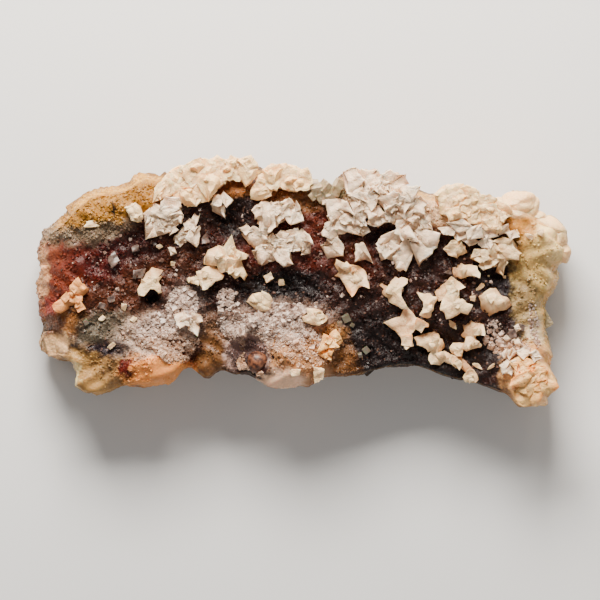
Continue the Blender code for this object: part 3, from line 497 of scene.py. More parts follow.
BROKEN_DARK = paint(112, 84, 66)
# Honey of the rim band, made paler as painted glow of light through the thin edge
RIM_GLOW = paint(214, 172, 96)
# Painted highlight: pale sparkles on some small faces, as if they caught the light
SPARKLE = paint(204, 164, 144)
# Down the wall the smooth places fade out, over this length above this level
CALM_FADE = 3.0
CALM_LEVEL = 11.0


def zone_colour(place, zones, ground, fray=2.2):
    """Ground colour, then each oval zone laid over it where the place, shaken by noise
    so that the edges fray, lies inside it."""
    shaken = noise(place, 0.55, 4.0, out=1)
    shaken = shaken.vector("MULTIPLY_ADD", shaken, (2 * fray,) * 3, (-fray,) * 3)
    shaken = place.vector("ADD", place, shaken)
    colour = ground
    for x, y, half_x, half_y, turn, soft, chip in zones:
        inside = place.node("ShaderNodeMapping", {"vector_type": "TEXTURE"}, {
            "Vector": shaken, "Location": (x, y, 0.0),
            "Rotation": (0.0, 0.0, math.radians(turn)), "Scale": (half_x, half_y, 1e6),
        })
        away = inside.vector("LENGTH", inside, out=1)
        colour = place.mix(1 - away.smooth(1 - soft, 1 + soft), colour, paint(*chip))
    return colour


def finish_fluorite(name, glitter, **constants):
    """Crust of small crystals: zone colours, a patchy brown broken wall, a pale rim band,
    partly its honey colour and partly painted glow of light through the thin edge, every
    crystal a little lighter or darker, painted pale sparkles where small faces would catch
    the light, and fine bumps that the smooth places lack."""
    finish, shader, place = new_finish(name, **constants)
    rim = place.node("ShaderNodeAttribute", {"attribute_name": "rim"}, out=2)
    calm = place.node("ShaderNodeAttribute", {"attribute_name": "smooth_place"}, out=2)
    height = place.node("ShaderNodeSeparateXYZ", values={"Vector": place}, out=2)
    cloudy = noise(place, 1.1, 6.0)
    patches = noise(place, 0.3, 3.0)
    back = 1 - (height + 12.0 * patches).smooth(8.0, 19.0)
    broken = place.mix(patches.smooth(0.4, 0.62), BROKEN_DARK, BROKEN_BACK)
    colour = zone_colour(place, CRUST_ZONES, CRUST_GROUND)
    colour = place.mix(back * 0.85, colour, broken)
    # Rim band: its honey colour, with painted glow of light through the thin edge
    colour = place.mix(rim.smooth(0.35, 1.0) * cloudy.smooth(0.3, 0.55) * 0.65, colour, RIM_GLOW)
    cell = place.node("ShaderNodeSeparateColor", values={"Color": cells(place, 1.7, out=1)})
    rough = 1 - 0.75 * calm
    light = 1.08 + rough * (0.24 * cell + 0.5 * cloudy - 0.38) + 0.5 * (cloudy - 0.5)
    colour = brightened(colour, light)
    fine = cells(place, 2.6, out=1)
    # Painted sparkles: some cells lighter, as if their small faces caught the light
    spark = place.node("ShaderNodeSeparateColor", values={"Color": fine}, out=1)
    spark = spark.smooth(1 - glitter, 1 - glitter * 0.4)
    colour = place.mix(spark * 0.26 * rough, colour, SPARKLE)
    grain = noise(place, 5.0, 3.0) * (0.25 + 0.4 * rough)
    relieved = cells(place, 1.9) * 1.2 * rough + grain + back * cloudy * 3.0
    connect(shader, colour, 0.62 - 0.3 * cell + 0.25 * back, bump(relieved, 0.8, 0.2))
    return finish


*slab_mesh, slab_rims = slab_shape()
slab = make_piece("fluorite_crust", *slab_mesh, crease=0.0)
slab_calm = smoothness(slab_mesh[0][:, 0], slab_mesh[0][:, 1])
slab_calm *= np.clip((slab_mesh[0][:, 2] - CALM_LEVEL) / CALM_FADE, 0.0, 1.0)
set_values(slab, "rim", slab_rims)
set_values(slab, "smooth_place", slab_calm)
# Only the faces of the smooth places are shaded smooth; the crystals' faces stay flat
calm_faces = np.zeros(len(slab.data.polygons), dtype=bool)
calm_faces[:len(slab_mesh[1])] = slab_calm[slab_mesh[1]].min(axis=1) > 0.5
slab.data.polygons.foreach_set("use_smooth", calm_faces)
slab.data.materials.append(finish_fluorite(
    "fluorite_crust_finish", 0.04, Coat_Weight=0.05, Specular_IOR_Level=0.25,
    Subsurface_Weight=0.3, Subsurface_Scale=0.9 * MM, Subsurface_Radius=(1.0, 0.45, 0.25),
))
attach(slab, "root")
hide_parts("fluorite_slab")

# Grains of the crust: small fluorite and barite crystals, mostly under a millimetre,
# that grew all over the crystal side. Each group is one piece, of cubes and rhombs that
# stand about a third deep in the crust, turned every way.
GRAIN_LIFT = 0.2
GRAIN_SKEW = 0.35
NEAR_FROST = paint(216, 172, 134)
CUBE_CORNERS = np.array([(x, y, z) for z in (-1, 1) for y in (-1, 1) for x in (-1, 1)]) / 2
CUBE_FACES = np.array((
    (0, 2, 3, 1), (4, 5, 7, 6), (0, 1, 5, 4), (2, 6, 7, 3), (0, 4, 6, 2), (1, 3, 7, 5),
))
# Ovals in which grains lie: centre x, centre y, half width along x, along y, turn, and
# the share of the grains that go there
WHOLE_TOP = ((0.0, 0.0, 52.0, 20.0, 0, 1.0),)
FROST = (
    (-30.4, -12.6, 4.2, 4.6, 0, 0.2), (-23.8, -5.0, 3.2, 4.4, -20, 0.1),
    (-24.4, -9.0, 2.8, 3.2, 0, 0.06), (-6.4, -9.6, 9.4, 3.0, 0, 0.2),
    (-0.6, -13.2, 6.2, 4.6, 0, 0.14), (-15.6, -12.6, 1.6, 5.4, 0, 0.05),
    (-13.4, -18.0, 2.8, 1.4, 0, 0.03), (41.6, -10.6, 1.8, 3.0, 0, 0.012),
    (44.8, -14.8, 4.0, 3.0, 0, 0.06), (50.6, -8.6, 1.0, 5.4, 0, 0.02),
    (-14.4, -3.2, 1.8, 2.0, 0, 0.02), (0.0, -6.2, 5.0, 1.6, 0, 0.03),
)
# Places without frost: the vug, the honey strip beside it and the far hollow
FROST_BARE = ((-11.4, -14.4, 4.1, 3.9), (-19.2, -14.0, 2.8, 7.0), (-30.4, -3.6, 1.8, 1.8))
SPECKS = (
    (-10.0, 4.0, 40.0, 12.0, 0, 0.6), (28.0, -3.0, 17.0, 8.0, 0, 0.26),
    (-36.0, 4.0, 14.0, 6.0, 0, 0.14),
)
FROST_LUMPS = (
    (-23.8, -5.4, 2.8, 4.0, -20, 0.24), (-28.6, -10.4, 4.0, 3.6, 0, 0.2),
    (44.0, -13.8, 3.2, 2.0, 0, 0.1), (41.2, -11.6, 1.8, 3.2, 0, 0.04),
    (-13.6, -4.6, 3.0, 2.6, 0, 0.08), (-2.0, -6.8, 6.0, 2.2, 0, 0.14),
    (-10.0, -9.4, 5.0, 1.6, 0, 0.08), (1.6, -12.6, 4.0, 4.0, 0, 0.1),
)
RIMS = (
    (-38.6, 15.6, 12.0, 4.4, 16, 0.26), (-45.6, 10.8, 8.0, 2.8, 10, 0.14),
    (-41.6, -18.0, 6.6, 4.8, 0, 0.14), (47.4, -0.6, 5.0, 13.4, 0, 0.32),
    (-18.6, -13.8, 2.8, 6.4, 0, 0.08), (-29.8, -18.0, 7.0, 3.4, 0, 0.06),
)


def oval_places(ovals, count, draw):
    """Points spread over ovals, a little denser towards each middle: an even angle, and
    for the reach an even share to the power of 0.55."""
    weights = np.array([oval[5] for oval in ovals])
    which = np.array(ovals)[draw.choice(len(ovals), count, p=weights / weights.sum())]
    angle, reach = draw.uniform(0, 2 * np.pi, count), draw.uniform(0, 1, count) ** 0.55
    turn = np.radians(which[:, 4])
    along, aside = which[:, 2] * reach * np.cos(angle), which[:, 3] * reach * np.sin(angle)
    x = which[:, 0] + along * np.cos(turn) - aside * np.sin(turn)
    y = which[:, 1] + along * np.sin(turn) + aside * np.cos(turn)
    return x, y


# Length over which grains are placed, from the middle to either end
GRAINS_HALF_LENGTH = 52.5


def on_slab(x, y):
    """Places of the crust near x, y: u is x as a share of the length, and v is y as a
    share of the way from the near to the far side there, both kept off the rim, so that no
    grain hangs over it."""
    u = np.clip((x + GRAINS_HALF_LENGTH) / (2 * GRAINS_HALF_LENGTH), 0.006, 0.994)
    near, far = side_point(NEAR_SIDE, u, 0)[:, 1], side_point(FAR_SIDE, u, 0)[:, 1]
    v = np.clip((y - near) / (far - near), 0.02, 0.98)
    return slab_points(u, v, np.ones_like(u))


def grain_shape(places, sizes, draw):
    """Skewed boxes: every corner of a cube is scaled, skewed, turned by a random
    quaternion and moved to its place."""
    count = len(places)
    skew = draw.uniform(-GRAIN_SKEW, GRAIN_SKEW, count)
    local = CUBE_CORNERS[None] * sizes[:, None, None] * draw.uniform(0.6, 1.25, (count, 1, 3))
    local[..., 0] += local[..., 2] * skew[:, None]
    q = draw.normal(size=(count, 4))
    q /= np.linalg.norm(q, axis=1)[:, None]
    axis, w = q[:, None, 1:], q[:, :1, None]
    cross = 2 * np.cross(np.broadcast_to(axis, local.shape), local)
    local = local + w * cross + np.cross(np.broadcast_to(axis, local.shape), cross)
    points = (local + places[:, None]).reshape(-1, 3)
    quads = (CUBE_FACES[None] + 8 * np.arange(count)[:, None, None]).reshape(-1, 4)
    return points, quads


def sprinkle(name, ovals, count, low, high, finish, seed):
    """One piece of grains in ovals but off the smooth and bare places, thinned out in
    patches, their sizes between low and high, small ones more often."""
    draw = np.random.default_rng(seed)
    x, y = oval_places(ovals, count, draw)
    bare = np.zeros(count, dtype=bool)
    for centre_x, centre_y, half_x, half_y in FROST_BARE if ovals is FROST else ():
        bare |= np.hypot((x - centre_x) / half_x, (y - centre_y) / half_y) < 1
    patch = 0.5 + 0.5 * crossed_waves(x, y, (1.5, 2.0, 1.1), (1.3, 1.8, 0.9))
    kept = (draw.uniform(0, 1, count) > smoothness(x, y)) & ~bare
    kept &= draw.uniform(0, 1, count) < (1.5 * patch if ovals is FROST else 0.15 + 1.1 * patch)
    x, y = x[kept], y[kept]
    sizes = low + (high - low) * draw.uniform(0, 1, len(x)) ** 2.2
    places = on_slab(x, y)
    places[:, 2] += sizes * GRAIN_LIFT
    piece = make_piece(name, *grain_shape(places, sizes, draw), crease=0.0)
    piece.data.materials.append(finish)
    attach(piece, "root")


def finish_frost(name, dim, bright):
    """Sugary translucent white: greyer and clearer in places, warmer on the near side,
    with bright faces."""
    finish, shader, place = new_finish(
        name, Subsurface_Weight=0.4, Subsurface_Scale=0.7 * MM, Subsurface_Radius=(1.0, 0.9, 0.8),
    )
    clouds = noise(place, 0.8, 4.0)
    each = place.node("ShaderNodeSeparateColor", values={"Color": cells(place, 1.7, out=1)})
    colour = place.mix(each.smooth(0.0, 0.9), dim, bright)
    colour = place.mix(clouds.smooth(0.42, 0.66) * 0.35, colour, dim)
    far_side = place.node("ShaderNodeSeparateXYZ", values={"Vector": place}, out=1)
    colour = place.mix((1 - far_side.smooth(-16.0, -8.0)) * 0.6, colour, NEAR_FROST)
    connect(shader, colour, 0.2 + 0.4 * each, bump(noise(place, 4.0, 3.0), 0.4, 0.08))
    return finish


grain_finish = finish_fluorite(
    "fluorite_grain_finish", 0.02, Coat_Weight=0.05, Specular_IOR_Level=0.3,
    Subsurface_Weight=0.3, Subsurface_Scale=0.6 * MM, Subsurface_Radius=(1.0, 0.5, 0.3),
)
speck_finish = finish_frost("speck_finish", paint(84, 58, 52), paint(166, 138, 126))
frost_finish = finish_frost("frost_finish", paint(164, 141, 129), paint(226, 207, 195))
sprinkle("fluorite_druse", WHOLE_TOP, 11000, 0.2, 0.6, grain_finish, 31)
sprinkle("fluorite_rim_grains", RIMS, 4200, 0.2, 0.5, grain_finish, 32)
sprinkle("frost_grains", FROST, 16500, 0.18, 0.55, frost_finish, 33)
sprinkle("frost_lumps", FROST_LUMPS, 900, 0.45, 1.1, frost_finish, 36)
sprinkle("dull_specks", SPECKS, 560, 0.2, 0.65, speck_finish, 34)
sprinkle("white_specks", SPECKS, 120, 0.2, 0.7, frost_finish, 35)

# Barite clusters: pearly white to peach crystals that grew on the crust, thick curved
# rhombs with sharp corners, grown into and over one another. Each cluster is one piece
# and stands for its solid.

# Each cluster: its tint, its habit, then its crystals as centre x, centre y, rise above
# the crust, and the corners as offsets from the centre
CLUSTERS = {
    "left_star": ("orange", "traced", (
        (-45.0, -1.2, 2.6, ((-0.05, 2.2), (0.75, 0.9), (1.1, 0.85), (2.1, -0.4), (0.9, -1.6),
            (-1.0, -1.2), (-1.8, -0.9), (-1.7, 0.45), (-1.1, 1.2))),
        (-47.4, -4.0, 2.3, ((0.4, 1.9), (-0.3, 1.4), (-2.35, -0.1), (-2.8, -0.7), (-2.6, -1.5),
            (-1.2, -2.3), (0.4, -1.35), (1.55, -0.9), (2.35, 0.6), (2.45, 2.0), (1.2, 2.0))),
        (-44.7, -4.5, 2.0, ((-0.35, 1.5), (0.7, 0.0), (1.15, -0.8), (-0.35, -1.6), (-1.15, -0.3),
            (-0.9, 1.2))),
        (-45.6, -2.9, 2.1, ((0.2, 1.7), (1.3, 0.9), (1.4, -0.9), (0.2, -1.5), (-1.2, -0.6),
            (-1.0, 0.8))),
    )),
    "kite": ("cream", "traced", (
        (-30.4, 0.2, 2.3, ((0.0, 2.6), (2.25, 2.05), (2.2, 1.05), (1.25, 0.75), (1.4, -0.2),
            (1.8, -0.95), (1.9, -2.3), (1.35, -2.4), (0.5, -1.7), (-0.3, -1.7), (-1.4, -2.85),
            (-2.55, -2.75), (-2.75, -1.6), (-1.9, 0.0), (-1.1, 1.6))),
    )),
    "pale_dome": ("cream", "dome", (
        (-33.9, 13.6, 1.7, ((-1.8, 1.2), (0.2, 2.2), (1.5, 0.8), (1.5, -1.6), (-0.6, -1.2))),
    )),
    "chip_upper_left": ("white", "star", (
        (-26.3, 6.2, 1.3, ((-0.9, 0.7), (0.5, 0.8), (0.9, -0.6), (-0.3, -1.0))),
    )),
    "crest_left": ("glow", "ridge", (
        (-27.6, 18.8, 2.4, ((-2.4, -2.8), (-2.0, 0.4), (1.2, 2.0), (1.8, -1.2))),
        (-24.6, 20.6, 2.8, ((-2.2, 1.3), (0.8, 2.6), (2.6, 1.2), (2.0, -2.4), (-1.6, -2.4))),
        (-21.4, 22.0, 3.0, ((0.4, 2.7), (-3.0, 0.6), (-1.2, -3.1), (2.2, 0.8), (1.8, -2.0))),
        (-17.4, 22.6, 3.0, ((0.0, 2.6), (-2.4, 1.2), (1.6, -3.0), (2.2, 1.2), (-1.8, -2.0))),
        (-14.2, 22.8, 3.0, ((-0.3, 2.5), (1.6, 1.4), (-1.8, 0.9), (1.4, -2.8), (-1.0, -2.4))),
        (-11.0, 22.2, 2.8, ((0.4, 2.9), (1.9, 0.8), (-2.0, 1.8), (-0.6, -3.0), (1.2, -1.4))),
        (-19.3, 18.8, 3.0, ((0.2, 2.6), (2.3, 1.9), (1.8, -0.6), (0.2, -2.7), (-2.1, 1.4))),
        (-22.4, 16.8, 2.6, ((-2.6, 1.0), (-0.6, 1.8), (2.2, 1.0), (0.9, -1.7), (-1.6, -1.4))),
    )),
    "upper_left_mass": ("white", "rosette", (
        (-28.6, 14.0, 2.8, ((-2.6, 0.0), (-1.2, 1.8), (2.4, 1.4), (3.6, 0.4), (1.4, -1.8))),
        (-29.9, 11.0, 2.6, ((-1.7, -2.5), (-2.0, 2.2), (0.8, 2.6), (3.2, -0.9), (0.6, -1.8))),
        (-25.3, 13.2, 2.6, ((0.4, 2.0), (1.3, 0.2), (0.8, -1.6), (-1.6, 0.0))),
        (-26.6, 15.4, 2.6, ((-2.2, -0.8), (-1.0, 1.6), (1.8, 1.4), (2.4, -0.4), (0.4, -1.8))),
        (-31.0, 13.4, 2.2, ((-1.2, 0.2), (0.2, 1.4), (1.4, 0.2), (-0.2, -1.4))),
        (-26.2, 10.8, 2.2, ((-1.6, 0.8), (0.2, 1.4), (1.2, -0.4), (-0.6, -1.4))),
    )),
    "upper_left_rosette": ("white", "rosette", (
        (-24.0, 9.8, 2.2, ((-1.8, -0.6), (-1.0, -1.9), (0.2, 1.6), (2.0, 1.2), (1.6, -0.8))),
        (-22.2, 9.6, 2.5, ((1.4, 1.7), (1.4, 0.0), (0.8, -2.7), (-1.6, -0.8), (-0.4, 1.4))),
        (-21.9, 12.5, 2.2, ((0.3, 1.8), (1.2, 1.2), (0.2, -1.6), (-1.0, -1.4))),
        (-24.6, 8.4, 2.0, ((-1.4, 0.6), (0.2, 1.2), (1.2, -0.4), (-0.2, -1.6), (-1.2, -0.6))),
    )),
    "small_twin": ("white", "star", (
        (-15.9, 16.2, 2.4, ((-0.2, 1.9), (1.8, 0.1), (0.4, -1.4), (-1.2, 0.6))),
        (-16.9, 14.8, 2.2, ((-1.8, 1.0), (-1.4, -0.6), (1.1, -2.0), (1.2, 0.8))),
        (-17.4, 16.2, 2.2, ((-1.2, -0.8), (-0.4, 1.4), (1.6, 1.0), (0.8, -1.2))),
    )),
    "crest_middle": ("glow", "ridge", (
        (-6.4, 21.2, 2.8, ((-0.2, 2.4), (-1.9, 1.2), (2.2, 1.8), (1.0, -3.0), (-1.2, -2.2))),
        (-2.9, 21.0, 2.8, ((-1.1, 2.1), (1.4, 2.0), (-2.9, 0.2), (-1.8, -2.2), (1.4, -2.8))),
        (0.0, 20.6, 2.6, ((0.7, 2.2), (1.8, -0.6), (-2.0, 1.4), (0.6, -2.4), (-1.6, -2.2))),
        (-8.7, 18.6, 2.4, ((-0.4, 2.2), (-1.9, -2.0), (2.2, -1.4), (1.8, 1.4), (-1.6, 0.4))),
    )),
    "upper_centre_mass": ("white", "rosette", (
        (-8.9, 13.8, 2.8, ((-1.6, 0.4), (-0.4, 1.6), (-0.9, -1.2), (1.2, -0.6), (1.4, 1.2))),
        (-6.9, 13.8, 3.2, ((0.4, 2.3), (-0.4, -3.8), (1.2, -2.6), (1.4, 0.8), (-1.2, 1.4))),
        (-4.3, 14.0, 3.0, ((-2.4, 1.2), (1.3, 1.7), (-0.7, -2.4), (1.6, -0.8))),
        (-2.0, 13.8, 3.2, ((0.4, 2.3), (1.2, 0.6), (-0.7, -2.4), (-1.8, -0.8), (2.0, -1.6))),
        (-7.6, 10.9, 2.6, ((-1.4, 1.2), (0.8, 1.8), (1.4, -0.6), (0.2, -1.8), (-1.2, -0.8))),
        (-8.2, 15.4, 2.4, ((-1.6, -0.4), (-0.2, 1.2), (1.6, 0.4), (0.2, -1.4))),
        (-3.4, 15.6, 2.4, ((-1.4, 0.2), (0.4, 1.2), (1.6, -0.2), (-0.2, -1.6))),
    )),
    "lower_centre_mass": ("white", "rosette", (
        (-9.0, 8.6, 3.0, ((-1.2, 2.6), (1.2, 1.2), (-3.4, 1.2), (1.8, -0.2), (1.4, -1.8),
            (-0.6, -2.2))),
        (-8.0, 5.3, 2.6, ((-2.2, 0.9), (2.2, 1.3), (1.9, -0.3), (-0.5, -2.1), (-1.7, -0.5),
            (-0.4, 1.8))),
        (-0.4, 8.2, 3.2, ((-0.1, 2.4), (1.4, 1.2), (2.1, -0.6), (1.0, -1.8), (-2.0, -1.4),
            (-1.9, 0.8))),
        (-3.4, 8.0, 2.8, ((-2.4, 1.6), (1.4, 1.2), (1.0, -1.8), (-0.8, -2.2))),
        (-4.2, 5.2, 2.8, ((-1.6, 2.0), (-2.2, 0.4), (0.1, -2.1), (2.0, -1.6), (1.4, 1.4))),
        (-2.2, 9.4, 2.6, ((-1.2, 0.8), (1.0, 1.4), (2.0, -0.2), (0.4, -1.4), (-1.4, -0.6))),
        (-11.6, 10.4, 2.4, ((-1.4, 0.4), (0.2, 1.2), (1.4, -0.2), (0.0, -1.2))),
        (-6.4, 8.2, 2.6, ((-1.4, 0.6), (0.2, 1.6), (1.6, 0.4), (0.6, -1.6), (-1.0, -1.2))),
        (0.2, 6.6, 2.4, ((-1.0, 1.0), (1.2, 0.8), (1.2, -0.8), (-0.8, -1.2))),
    )),
    "centre_star": ("cream", "traced", (
        (-15.05, 4.4, 2.7, ((0.6, 4.9), (1.5, 2.1), (3.9, 1.0), (3.6, 0.3), (2.5, -0.1),
            (3.6, -2.9), (3.0, -4.0), (2.2, -3.1), (1.3, -3.8), (-0.3, -2.4), (-1.6, -2.4),
            (-1.7, -1.3), (-4.9, -0.9), (-4.6, 0.6), (-3.9, 1.9), (-2.0, 2.9), (-0.9, 2.5))),
        (-14.8, 6.4, 3.4, ((0.35, 2.9), (1.2, 0.2), (0.8, -1.9), (-0.8, -1.8), (-1.4, 0.5))),
        (-17.7, 5.1, 3.1, ((-2.2, -1.4), (-1.9, 0.2), (-1.2, 1.2), (0.6, 2.1), (2.2, 0.2),
            (0.6, -1.8))),
        (-13.3, 2.3, 3.2, ((1.8, -0.8), (1.3, -1.9), (0.5, -1.0), (-0.5, -1.6), (-1.9, 0.1),
            (-1.0, 1.5), (0.7, 1.8))),
        (-12.8, 5.0, 3.0, ((1.7, 0.4), (1.3, -0.4), (-0.6, -1.0), (-1.4, 0.4), (-0.4, 1.3))),
        (-19.05, 1.0, 2.7, ((-2.4, 1.0), (-1.5, 1.4), (-0.6, 2.1), (0.9, 2.4), (1.9, 1.6),
            (2.9, 0.4), (2.75, -0.5), (1.4, -0.9), (0.5, -1.9), (-1.0, -2.6), (-1.75, -1.5))),
        (-22.2, 0.3, 1.8, ((-1.2, 0.25), (0.1, 0.8), (1.3, 0.6), (1.1, -1.0), (-0.4, -0.6))),
    )),
    "plate_centre": ("cream", "plates", (
        (-7.2, 1.0, 1.5, ((0.6, 1.1), (1.1, -0.3), (-0.3, -1.3), (-1.0, 0.2))),
    )),
    "mushroom": ("cream", "knob", (
        (-8.8, -4.0, 2.6, ((-2.5, 0.1), (-1.4, 1.6), (0.4, 2.0), (2.2, 0.9), (2.3, -1.6),
            (-0.6, -1.6))),
    )),
    "lower_left_pair": ("white", "rosette", (
        (-24.4, -7.6, 2.2, ((-1.6, 1.0), (0.4, 1.8), (-0.4, -1.8), (1.6, -1.2), (1.8, 0.6))),
        (-21.8, -8.0, 2.4, ((-0.6, 1.8), (1.7, 0.0), (0.6, -2.9), (-1.4, -1.4), (1.2, 1.4))),
    )),
    "cream_tooth": ("cream", "traced", (
        (2.2, -7.0, 2.6, ((-1.65, 1.7), (0.0, 1.7), (0.9, 0.5), (1.6, 1.1), (2.4, 0.3),
            (2.3, -0.8), (0.8, -1.7), (-0.7, -1.6), (-2.3, -0.8), (-2.6, 0.05), (-1.5, 0.5))),
    )),
    "orange_blades": ("peach", "traced", (
        (4.6, -12.2, 2.8, ((-0.7, 1.9), (0.9, 1.2), (2.4, -0.7), (1.8, -1.0), (0.4, -1.1),
            (-1.5, -1.8), (-1.9, -1.5), (-1.1, 0.5))),
        (6.4, -11.0, 2.4, ((0.0, 1.6), (0.6, 0.8), (1.3, -0.8), (0.5, -1.8), (-0.6, -0.9),
            (-1.4, 0.4), (-0.7, 1.2))),
        (4.6, -14.4, 2.2, ((-0.1, 1.1), (1.35, 0.8), (1.0, 0.0), (0.8, -1.2), (-0.7, -0.8),
            (-1.75, 0.0))),
    )),
    "notch_stack": ("white", "rosette", (
        (3.8, 16.8, 1.8, ((-0.6, 1.4), (-0.8, 0.4), (-0.2, -1.4), (1.2, -1.2), (0.4, 0.8))),
        (6.9, 14.4, 2.8, ((-2.4, 1.8), (0.6, 2.0), (1.6, 1.6), (3.2, -1.2), (1.2, -1.6),
            (-1.4, -2.5))),
        (5.5, 10.3, 2.8, ((-2.2, -0.4), (-1.4, 1.4), (0.4, 2.0), (2.1, 0.9), (1.2, -1.9),
            (-1.2, -1.4))),
        (5.6, 7.2, 2.5, ((-2.3, 0.1), (-1.0, -2.8), (2.1, -1.9), (2.2, 0.4), (0.6, 1.8))),
        (9.3, 11.2, 2.6, ((-1.6, 1.2), (-2.6, -0.6), (2.3, -2.0), (2.4, 0.6), (0.8, 1.9))),
        (11.4, 13.2, 2.6, ((-1.8, 0.6), (0.2, 1.4), (1.6, 0.2), (0.6, -1.8), (-1.0, -1.2))),
        (11.8, 10.4, 2.4, ((-1.4, 0.4), (0.4, 1.4), (1.4, -0.4), (-0.2, -1.4))),
    )),
    "arch": ("white", "rosette", (
        (11.6, 5.9, 2.5, ((-1.4, 1.6), (0.4, 1.9), (2.1, -2.1), (0.4, -1.4), (-1.5, -1.9))),
    )),
    "molar": ("tipped", "traced", (
        (9.7, 1.0, 2.8, ((-3.2, 3.5), (-1.0, 2.5), (1.1, 2.2), (1.9, 1.86), (2.6, 1.07),
            (2.8, -0.1), (3.2, -1.24), (3.2, -2.3), (1.87, -1.8), (1.2, -2.2), (0.7, -3.1),
            (-0.13, -3.8), (-0.9, -3.0), (-1.6, -1.8), (-2.55, -0.1), (-3.5, 0.2), (-2.65, 0.96),
            (-3.5, 2.4))),
        (8.4, 3.0, 3.2, ((-1.9, 1.5), (0.3, 0.5), (2.4, 0.2), (2.2, -0.3), (0.2, -1.1),
            (-2.1, 0.4))),
    )),
    "upper_right_mass": ("white", "rosette", (
        (9.8, 19.8, 2.8, ((-1.9, 2.1), (0.6, 2.9), (2.4, 0.6), (0.8, -2.6), (-1.2, -2.2))),
        (13.2, 19.8, 3.0, ((-1.8, 2.7), (1.4, 2.6), (2.6, 0.4), (0.6, -2.4), (-1.8, -2.2))),
        (17.2, 20.0, 2.8, ((-1.8, 1.4), (0.0, 2.5), (2.9, 1.4), (3.6, -0.4), (0.2, -2.0),
            (-2.0, -1.6))),
        (12.0, 16.2, 2.6, ((-3.1, 1.0), (-0.8, 1.8), (2.8, 1.0), (1.4, -2.2), (-1.0, -2.0))),
        (17.4, 16.2, 3.2, ((-2.8, 0.4), (0.4, 2.0), (2.2, 0.8), (1.8, -1.8), (-1.4, -1.8))),
        (20.6, 17.4, 3.0, ((2.4, 1.6), (0.8, -1.8), (-2.2, -0.8), (-1.8, 1.6))),
        (21.8, 15.2, 3.4, ((1.4, 1.9), (2.8, 0.4), (2.2, -1.8), (-1.8, -1.6), (-1.6, 1.4))),
        (14.5, 12.5, 2.6, ((0.6, 2.9), (1.9, -0.4), (0.2, -1.5), (-2.0, -0.9), (-1.2, 2.4))),
        (17.9, 13.2, 3.0, ((-1.6, 2.2), (1.8, 0.4), (0.6, -1.8), (-1.6, -0.8))),
        (24.2, 12.4, 3.0, ((-0.6, 2.6), (1.2, 0.8), (1.4, -1.8), (-1.2, -1.8))),
        (20.8, 11.0, 4.0, ((-2.3, 1.2), (-0.8, 2.4), (2.8, 1.4), (1.6, -2.4), (-1.2, -3.0),
            (-2.6, -1.2))),
        (16.9, 8.0, 3.2, ((-2.6, -0.4), (-1.6, 1.2), (1.8, 2.6), (2.4, -0.8), (-0.7, -3.4))),
        (19.8, 5.4, 2.8, ((0.4, 3.4), (2.2, 0.4), (0.6, -3.4), (-1.6, -2.8), (-2.0, -0.4))),
        (24.0, 8.0, 3.4, ((-2.8, -0.2), (-1.8, 2.2), (3.2, 1.7), (1.5, -2.3), (-1.0, -4.6))),
        (10.4, 15.0, 2.4, ((-1.6, 1.4), (0.8, 1.6), (1.8, -0.6), (-0.4, -1.8))),
        (14.6, 18.0, 2.6, ((-1.8, 0.8), (0.6, 1.6), (1.8, -0.4), (0.2, -1.6))),
        (15.9, 6.0, 2.4, ((-1.6, 0.8), (0.4, 1.4), (1.0, -0.8), (-0.6, -1.8))),
    )),
    "crest_right": ("glow", "ridge", (
        (28.4, 16.8, 2.8, ((0.4, 2.6), (-2.4, 0.6), (2.4, 1.8), (2.2, -2.6), (-1.0, -2.8))),
        (32.2, 16.8, 3.0, ((-1.4, 2.0), (1.0, 2.4), (3.2, 0.4), (1.6, -2.4), (-1.8, -2.2))),
        (35.6, 15.2, 2.8, ((-1.2, 1.8), (0.2, 2.2), (3.0, 1.4), (0.2, -2.2), (-1.4, -2.8))),
        (39.0, 14.6, 2.6, ((-1.6, 1.6), (1.6, 0.9), (2.6, -1.4), (-0.4, -1.8), (-2.0, -0.6))),
        (38.0, 11.4, 2.8, ((-2.4, 0.9), (0.8, 1.9), (1.6, -1.0), (0.4, -1.8))),
        (29.8, 13.8, 2.4, ((-2.0, 0.8), (1.2, 1.4), (1.8, -0.6), (-0.6, -1.6))),
        (33.6, 13.0, 2.4, ((-1.8, 1.0), (1.4, 1.2), (1.6, -1.0), (-0.8, -1.4))),
    )),
    "flat_blades": ("white", "plates", (
        (31.4, 11.2, 2.6, ((-2.8, 0.6), (0.2, 1.3), (2.6, -0.4), (-0.6, -1.5))),
        (28.6, 10.4, 2.2, ((-2.0, 0.4), (2.8, 0.6), (1.2, -1.2), (-0.8, -1.0))),
        (34.0, 9.9, 3.0, ((-1.8, 0.6), (1.4, 1.6), (1.8, -1.0), (-1.4, -1.5))),
        (36.8, 9.7, 2.6, ((-1.8, 0.8), (1.2, 1.2), (2.0, -0.6), (-0.4, -1.3))),
        (39.8, 10.4, 2.4, ((-1.4, 0.6), (1.0, 1.2), (1.6, -0.8), (-0.8, -1.0))),
        (33.0, 8.2, 2.4, ((-2.2, 0.4), (0.6, 1.0), (2.0, -0.2), (0.0, -1.0))),
        (36.4, 7.8, 2.6, ((-2.0, 0.2), (-0.2, 1.2), (1.8, 0.4), (0.8, -1.2), (-1.0, -1.0))),
        (30.8, 9.4, 2.4, ((-1.8, 0.4), (0.8, 1.0), (1.8, -0.4), (-0.2, -1.2))),
        (41.6, 9.4, 2.4, ((-1.4, 0.4), (0.4, 1.0), (1.4, -0.4), (-0.4, -1.0))),
    )),
    "olive_block": ("cream", "rosette", (
        (30.2, 6.6, 2.6, ((-2.4, 0.0), (-0.8, 1.7), (1.2, 1.5), (2.4, -0.8), (0.4, -1.8),
            (-1.4, -1.2))),
    )),
    "right_fan": ("cream", "rosette", (
        (34.9, 5.4, 2.4, ((-1.6, -0.6), (-1.0, 1.1), (1.6, 1.2), (2.4, -0.8), (0.2, -1.6))),
